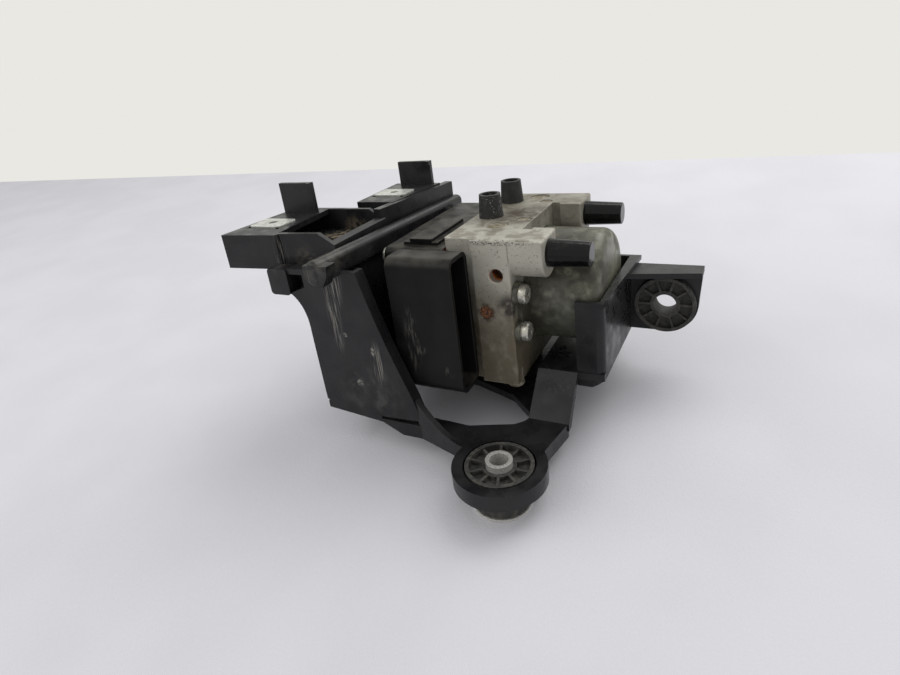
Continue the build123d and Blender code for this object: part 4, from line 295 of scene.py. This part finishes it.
motor_zinc, tree, shader, place = finish("Zinc-plated drawn steel, stained", "#85867A", 0.42, 0.3)
colour = layer(tree, linear("#7B7B6A"), "#66655A", blotches(tree, place, 13, 0.35, 0.65, 4.0))
smear = blotches(tree, place, 9, 0.46, 0.64, 6.0, seed=(4, 2, 9))
colour = layer(tree, colour, "#4C4B3F", smear, 0.7)
near_block = spot(tree, place, NEAR_BLOCK, 24, 26)
dark_patch = both(tree, near_block, blotches(tree, place, 6, 0.24, 0.54, 5.0))
colour = layer(tree, colour, "#2C2A21", dark_patch, 0.8)
# Painted shade: the shaded side of the can is darkened.
low_shade = spot(tree, place, SHADED_SIDE, 14, 16)
low_shade = both(tree, low_shade, blotches(tree, place, 8, 0.3, 0.6))
colour = layer(tree, colour, "#35362F", low_shade, 0.25)
speck = blotches(tree, place, 1.6, 0.62, 0.7, 3.0, seed=(8, 1, 1))
colour = layer(tree, colour, "#3C3A2C", speck, 0.6)
# Painted light: the lit side of the can is made paler.
pale = both(tree, spot(tree, place, LIT_SIDE, 7, 12), blotches(tree, place, 5, 0.3, 0.7, 7.0))
colour = layer(tree, colour, "#8A8B7E", pale, 0.25)
cool = both(tree, spot(tree, place, LOW_SIDE, 5, 12), blotches(tree, place, 7, 0.3, 0.7))
colour = layer(tree, colour, "#66716D", cool, 0.3)
wire(
    tree,
    shader,
    colour,
    smear,
    (0.36, 0.62),
    [(blotches(tree, place, 1.2, 0.3, 0.7), 0.03)],
    0.5,
)
dress(motor_zinc, "motor_can", "motor_flange")

# %% [markdown]
# The motor's screws are zinc-plated steel with a bright, slightly worn face.

# %% Screws, studs and clips
screw_zinc, tree, shader, place = finish("Zinc-plated steel screw", "#A8A69C", 0.3, 0.75)
tarnish = blotches(tree, place, 2.2, 0.45, 0.7, 4.0)
colour = layer(tree, linear("#B9B7AD"), "#6F695A", tarnish, 0.5)
colour = layer(tree, colour, "#DAD8D0", rubbed_edges(tree, 0.4), 0.6)
wire(tree, shader, colour, tarnish, (0.24, 0.5), [(tarnish, 0.03)], 0.3)
dress(screw_zinc, "motor_screws", "control_unit_screws", "block_studs")

clip_sheet, tree, shader, place = finish("Zinc-plated spring steel sheet", "#C9CAC2", 0.35, 0.6)
tarnish = blotches(tree, place, 3.0, 0.4, 0.7, 4.0)
colour = layer(tree, linear("#D2D3CC"), "#8C8D84", tarnish, 0.6)
wire(tree, shader, colour, tarnish, (0.3, 0.5), [(tarnish, 0.03)], 0.2)
dress(clip_sheet, "front_clip_nut", "rear_clip_nut")

sleeve_steel, tree, shader, place = finish("Bright turned steel", "#D8D7D2", 0.3, 0.6)
turning = blotches(tree, place, 1.5, 0.35, 0.7, stretch=(1, 1, 6))
colour = layer(tree, linear("#DAD9D4"), "#A5A299", turning, 0.5)
wire(tree, shader, colour, turning, (0.2, 0.4), [], 0.3)
dress(sleeve_steel, "front_isolator_sleeve", "front_isolator_washer")

# %% [markdown]
# The bracket is glass-filled nylon, moulded with a fine grain. It is nearly black,
# fairly glossy where it has been handled, scratched pale on the front gusset,
# and dusty wherever it faces up. Sand has collected in the tray.

# %% Moulded bracket
TRAY_FLOOR = (-112, 50, 109)
GUSSET_FOOT = (-78, 15, 38)
RAMP = (13, 52, 34)
# centre, radius, fade and squeeze of each marked place
RAIL_FILM = (
    ((-88, 6, 116), 3, 12, (1, 0.45, 1)),
    ((-98, 17, 107), 3, 6),
)
SCRATCHES = (
    ((-90, 15, 99), 3, 5, (1.0, 0.5, 0.5)),
    ((-92, 15, 84), 2.5, 3.5, (1.2, 0.5, 0.22)),
    ((-70, 16, 56), 1.5, 3.5, (1.0, 0.5, 0.3)),
    ((-125, 19, 112), 1.5, 3.0, (1, 0.5, 0.3)),
)
RUBS = (
    ((-87.5, 15, 71), 0.6, 1.0),
    ((-84, 15, 43), 1.0, 1.6),
    ((-72, 15, 63), 0.5, 1.2, (1, 1, 0.5)),
)

nylon, tree, shader, place = finish(
    "Glass-filled nylon, black", "#141415", 0.34, specular=0.28
)
colour = layer(tree, linear("#18181A"), "#222223", blotches(tree, place, 18, 0.35, 0.65))
dust = both(tree, facing_up(tree, 0.5, 0.95), blotches(tree, place, 9, 0.42, 0.7, 5.0))
colour = layer(tree, colour, "#3E3B34", dust, 0.05)
sand_heap = spot(tree, place, TRAY_FLOOR, 9, 9, (1, 0.6, 1))
sand = both(tree, sand_heap, blotches(tree, place, 3.0, 0.4, 0.58, 6.0))
colour = layer(tree, colour, "#8D8068", sand, 0.75)
film = both(tree, spots(tree, place, *RAIL_FILM), blotches(tree, place, 4.0, 0.3, 0.6, 4.0))
colour = layer(tree, colour, "#5E5B52", film, 0.45)
streaks = blotches(tree, place, 0.45, 0.5, 0.64, 2.0, stretch=(1.0, 1.0, 0.03))
scratched = both(tree, streaks, spots(tree, place, *SCRATCHES))
colour = layer(tree, colour, "#85827A", scratched, 0.8)
rubs = both(tree, spots(tree, place, *RUBS), blotches(tree, place, 1.4, 0.35, 0.55, 3.0))
colour = layer(tree, colour, "#8F8C84", rubs, 0.8)
wash = spot(tree, place, GUSSET_FOOT, 6, 14, (0.8, 1, 1))
wash = both(tree, wash, blotches(tree, place, 7.0, 0.42, 0.66, 5.0))
colour = layer(tree, colour, "#4A4844", wash, 0.6)
# Painted highlight: a paler patch on the ramp stands in for its reflection.
painted_ramp_highlight = spot(tree, place, RAMP, 1.5, 5, (0.6, 1, 1))
painted_ramp_highlight = both(tree, painted_ramp_highlight, blotches(tree, place, 1.8, 0.5, 0.7, 7.0))
colour = layer(tree, colour, "#55524B", painted_ramp_highlight, 0.4)
grain = blotches(tree, place, 0.7, 0.3, 0.7, 2.0)
wire(
    tree,
    shader,
    colour,
    either(tree, dust, blotches(tree, place, 10, 0.3, 0.7)),
    (0.2, 0.42),
    [(grain, 0.012), (sand, 0.4)],
)
dress(nylon, "carrier")

# %% [markdown]
# The control unit's housing is a smoother, more satin plastic than the bracket's,
# with scuffs on the broad side of its connector shroud.

# %% Control unit
SHROUD_FRONT = 24.6
SCUFFS = (
    ((-53, SHROUD_FRONT, 66), 2.5, 4, (1.2, 1, 0.28)),
    ((-51, SHROUD_FRONT, 62), 1.5, 2.5, (0.6, 1, 1)),
    ((-34, SHROUD_FRONT, 51), 1, 3),
)

housing_plastic, tree, shader, place = finish(
    "PBT housing, satin black", "#0E0E0E", 0.34, specular=0.16
)
colour = layer(tree, linear("#0D0D0D"), "#141414", blotches(tree, place, 16, 0.35, 0.65))
dust = both(tree, facing_up(tree, 0.2, 0.9), blotches(tree, place, 8, 0.3, 0.65, 5.0))
colour = layer(tree, colour, "#4F4C43", dust, 0.5)
hairlines = blotches(tree, place, 1.0, 0.46, 0.7, 8.0, stretch=(1, 1, 0.15))
scuffed = both(tree, spots(tree, place, *SCUFFS), hairlines)
colour = layer(tree, colour, "#625F57", scuffed, 0.5)
colour = layer(tree, colour, "#45443F", rubbed_edges(tree, 0.7), 0.45)
wire(
    tree,
    shader,
    colour,
    blotches(tree, place, 9, 0.3, 0.7),
    (0.32, 0.5),
    [(blotches(tree, place, 0.6, 0.3, 0.7), 0.015)],
    0.7,
)
dress(housing_plastic, "control_unit_housing", "control_unit_cover")

# %% [markdown]
# The isolators are natural rubber, matte and greyed by dust in their slots.

# %% Rubber
rubber, tree, shader, place = finish("Moulded natural rubber, dusty", "#2B2B2A", 0.72)
film = blotches(tree, place, 2.2, 0.4, 0.65, 5.0)
colour = layer(tree, linear("#262625"), "#55524B", film, 0.6)
colour = layer(tree, colour, "#6B6860", rubbed_edges(tree, 0.5), 0.4)
wire(tree, shader, colour, film, (0.62, 0.85), [(film, 0.06)], 0.5)
dress(rubber, "front_isolator_rubber", "side_isolator_rubber", "block_isolator_pads")

# %% [markdown]
# The caps on the pipe ports are polythene: two are glossy and lie on their sides,
# two stand up and are dull, and the front one of those is flecked with pale dust.

# %% Protective caps
gloss, tree, shader, place = finish("Gloss polythene cap, black", "#0D0D0E", 0.12, specular=0.22)
wear = blotches(tree, place, 5, 0.55, 0.75)
colour = layer(tree, linear("#0B0B0C"), "#232323", wear, 0.6)
wire(tree, shader, colour, wear, (0.09, 0.22), [(blotches(tree, place, 3, 0.3, 0.7), 0.03)], 0.5)
dress(gloss, "front_port_cap", "rear_port_cap")

dull, tree, shader, place = finish("Dull polythene cap, black", "#171717", 0.6)
colour = layer(tree, linear("#141414"), "#242424", blotches(tree, place, 4, 0.4, 0.7))
wire(tree, shader, colour, None, (0, 0), [(blotches(tree, place, 1, 0.3, 0.7), 0.03)], 0.5)
dress(dull, "rear_top_cap")

flecked, tree, shader, place = finish("Dull polythene cap, flecked", "#171717", 0.6)
flecks = blotches(tree, place, 0.7, 0.6, 0.66, 2.0)
flecks = both(tree, flecks, blotches(tree, place, 7, 0.3, 0.5))
colour = layer(tree, linear("#151515"), "#8E8E8A", flecks, 0.8)
wire(tree, shader, colour, None, (0, 0), [(flecks, 0.05)], 0.5)
dress(flecked, "front_top_cap")

# %% [markdown]
# Inside, everything is clean: turned and ground steel, enamelled copper wire,
# sintered magnets, carbon, and a green circuit board. Each gets a plain finish
# with the one pattern that tells it apart.

# %% Inner pieces
INNER = (
    ("Ground steel", "#9A9CA0", "#7C7E82", 0.28, 0.9, 2.0, (1, 6, 6),
     ("rotor_shaft", "eccentric_ring", "front_bearing", "armature_core", "front_pump_piston",
      "rear_pump_piston", "solenoid_valves", "pressure_sensor")),
    ("Drawn spring wire", "#7C7D80", "#5B5C5E", 0.35, 0.85, 1.5, (1, 1, 1),
     ("front_pump_spring", "rear_pump_spring", "front_accumulator_spring",
      "rear_accumulator_spring")),
    ("Anodised aluminium piston", "#B2B0A8", "#9A988F", 0.35, 0.7, 2.0, (1, 1, 8),
     ("front_accumulator_piston", "rear_accumulator_piston")),
    ("Enamelled copper wire", "#A5522A", "#7A3518", 0.3, 0.6, 0.8, (8, 1, 1),
     ("armature_windings", "commutator")),
    ("Sintered bronze bush", "#A3824A", "#84683A", 0.4, 0.8, 1.0, (1, 1, 1),
     ("rear_shaft_bush",)),
    ("Tinned brass pin", "#C9B27A", "#A8925E", 0.3, 0.85, 1.0, (1, 1, 1),
     ("connector_pins",)),
    ("Ground ferrite magnet", "#3A3B3D", "#2C2D2F", 0.6, 0.0, 1.5, (1, 1, 1),
     ("motor_magnets",)),
    ("Pressed carbon", "#1E1E1F", "#2B2B2C", 0.7, 0.0, 0.8, (1, 1, 1),
     ("carbon_brushes",)),
    ("Phenolic moulding", "#3A2A20", "#2B1F18", 0.5, 0.0, 2.0, (1, 1, 1),
     ("brush_plate", "solenoid_coils", "motor_contact_rod")),
    ("Solder-mask board", "#1F5A34", "#2C7346", 0.35, 0.0, 1.2, (1, 5, 1),
     ("circuit_board",)),
    ("Silicone seal", "#A04A3A", "#8A3C2E", 0.6, 0.0, 2.0, (1, 1, 1),
     ("control_unit_seal",)),
)
for name, colour_a, colour_b, roughness, metallic, size_mm, stretch, nodes in INNER:
    material, tree, shader, place = finish(name, colour_a, roughness, metallic)
    pattern = blotches(tree, place, size_mm, 0.35, 0.65, stretch=stretch)
    colour = layer(tree, linear(colour_a), colour_b, pattern)
    wire(tree, shader, colour, pattern, (roughness, roughness + 0.12), [(pattern, 0.02)])
    dress(material, *nodes)

# %% [markdown]
# Each coil spring gets its own copy of its mesh. The table gives, for each, its
# piston's joint, the axis it lies along, its end that leans on the plug or the cap,
# and the stroke.

# %% Springs
ALONG_Y = 1
ALONG_Z = 2
PUMP_STROKE = 3.0
ACCUMULATOR_STROKE = 6.0
SPRINGS = (
    ("front_pump_spring", "front_pump_stroke", ALONG_Y, "low", PUMP_STROKE),
    ("rear_pump_spring", "rear_pump_stroke", ALONG_Y, "high", PUMP_STROKE),
    ("front_accumulator_spring", "front_accumulator_stroke", ALONG_Z, "low", ACCUMULATOR_STROKE),
    ("rear_accumulator_spring", "rear_accumulator_stroke", ALONG_Z, "low", ACCUMULATOR_STROKE),
)
for node, joint, along, held_end, stroke in SPRINGS:
    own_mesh(bpy.data.objects[node])

# %% [markdown]
# The module leans as it would on a table: on the rim of the front washer and on
# the bracket's back edge. The table is a plain pale sheet under those two, and
# ends behind the module, where a pale wall takes over.

# %% Table
REST_FRONT = (-14.2, 0.0)
REST_BACK = (146.0, 14.0)
TABLE_BACK = 0.56
TABLE_SIZE = 4.0
TABLE_CLEAR = 0.0001          # keeps the table just below the two edges that rest on it
lean = (REST_BACK[1] - REST_FRONT[1]) / (REST_BACK[0] - REST_FRONT[0])

bpy.ops.object.select_all(action="DESELECT")
bpy.ops.mesh.primitive_plane_add(size=TABLE_SIZE, location=(0, TABLE_BACK - TABLE_SIZE / 2, 0))
table = bpy.context.object
table.name = "table"
bpy.ops.object.transform_apply(location=True, rotation=True, scale=True)
for corner in table.data.vertices:
    corner.co.z = lean * (corner.co.y - REST_FRONT[0] * MM) - TABLE_CLEAR
table_top, tree, shader, place = finish("Matte pale table top", "#D0CFD2", 0.9)
colour = layer(tree, linear("#CFCED1"), "#D3D2D5", blotches(tree, place, 90, 0.35, 0.65, 2.0))
wire(tree, shader, colour, None, (0, 0), [(blotches(tree, place, 1.2, 0.3, 0.7, 3.0), 0.05)])
table.data.materials.append(table_top)

# %% [markdown]
# Soft light from a big window behind and above, and an even pale room all round.
# The camera and every shiny face see a pale wall instead of the room's grey.

# %% Light
world = bpy.data.worlds.new("room")
bpy.context.scene.world = world
world.use_nodes = True
tree = world.node_tree
room = tree.nodes["Background"]
room.inputs["Color"].default_value = linear("#EDEDF0")
room.inputs["Strength"].default_value = 0.84
wall = add(tree, "ShaderNodeBackground", {"Color": linear("#E9E8E3"), "Strength": 1.0})
rays = add(tree, "ShaderNodeLightPath")
seen = add(
    tree,
    "ShaderNodeMath",
    {0: rays.outputs["Is Camera Ray"], 1: rays.outputs["Is Transmission Ray"]},
    operation="MAXIMUM",
)
shown = add(
    tree,
    "ShaderNodeMath",
    {0: seen.outputs[0], 1: rays.outputs["Is Glossy Ray"]},
    operation="MAXIMUM",
)
mix = add(
    tree,
    "ShaderNodeMixShader",
    {0: shown.outputs[0], 1: room.outputs[0], 2: wall.outputs[0]},
)
tree.links.new(mix.outputs[0], tree.nodes["World Output"].inputs["Surface"])


def lamp(name, place, target, size, watts):
    """A square soft light at place, in metres, that faces target."""
    data = bpy.data.lights.new(name, "AREA")
    data.size = size
    data.energy = watts
    made = bpy.data.objects.new(name, data)
    bpy.context.collection.objects.link(made)
    made.location = place
    made.rotation_euler = (Vector(target) - Vector(place)).to_track_quat("-Z", "Y").to_euler()
    return made


TARGET = (-0.04, 0.06, 0.06)
lamp("window", (0.35, 0.75, 1.15), TARGET, 1.1, 9)
lamp("room_side", (-0.9, -0.7, 0.9), TARGET, 1.0, 4)

# %% [markdown]
# The camera stands a little to the right of the module and looks down on it by
# about 23 degrees. Its picture is shifted, because the view was cropped above.

# %% Camera
camera_data = bpy.data.cameras.new("camera")
camera_data.lens = 23.19
camera_data.sensor_width = 36.0
camera_data.shift_y = -37.5 / 900
camera_data.clip_start = 0.01
camera = bpy.data.objects.new("camera", camera_data)
bpy.context.collection.objects.link(camera)
camera.location = (0.0952, -0.1956, 0.1962)
camera.rotation_euler = (radians(67.3), radians(6.8), radians(26.5))
bpy.context.scene.camera = camera
bpy.context.scene.view_settings.view_transform = "Standard"
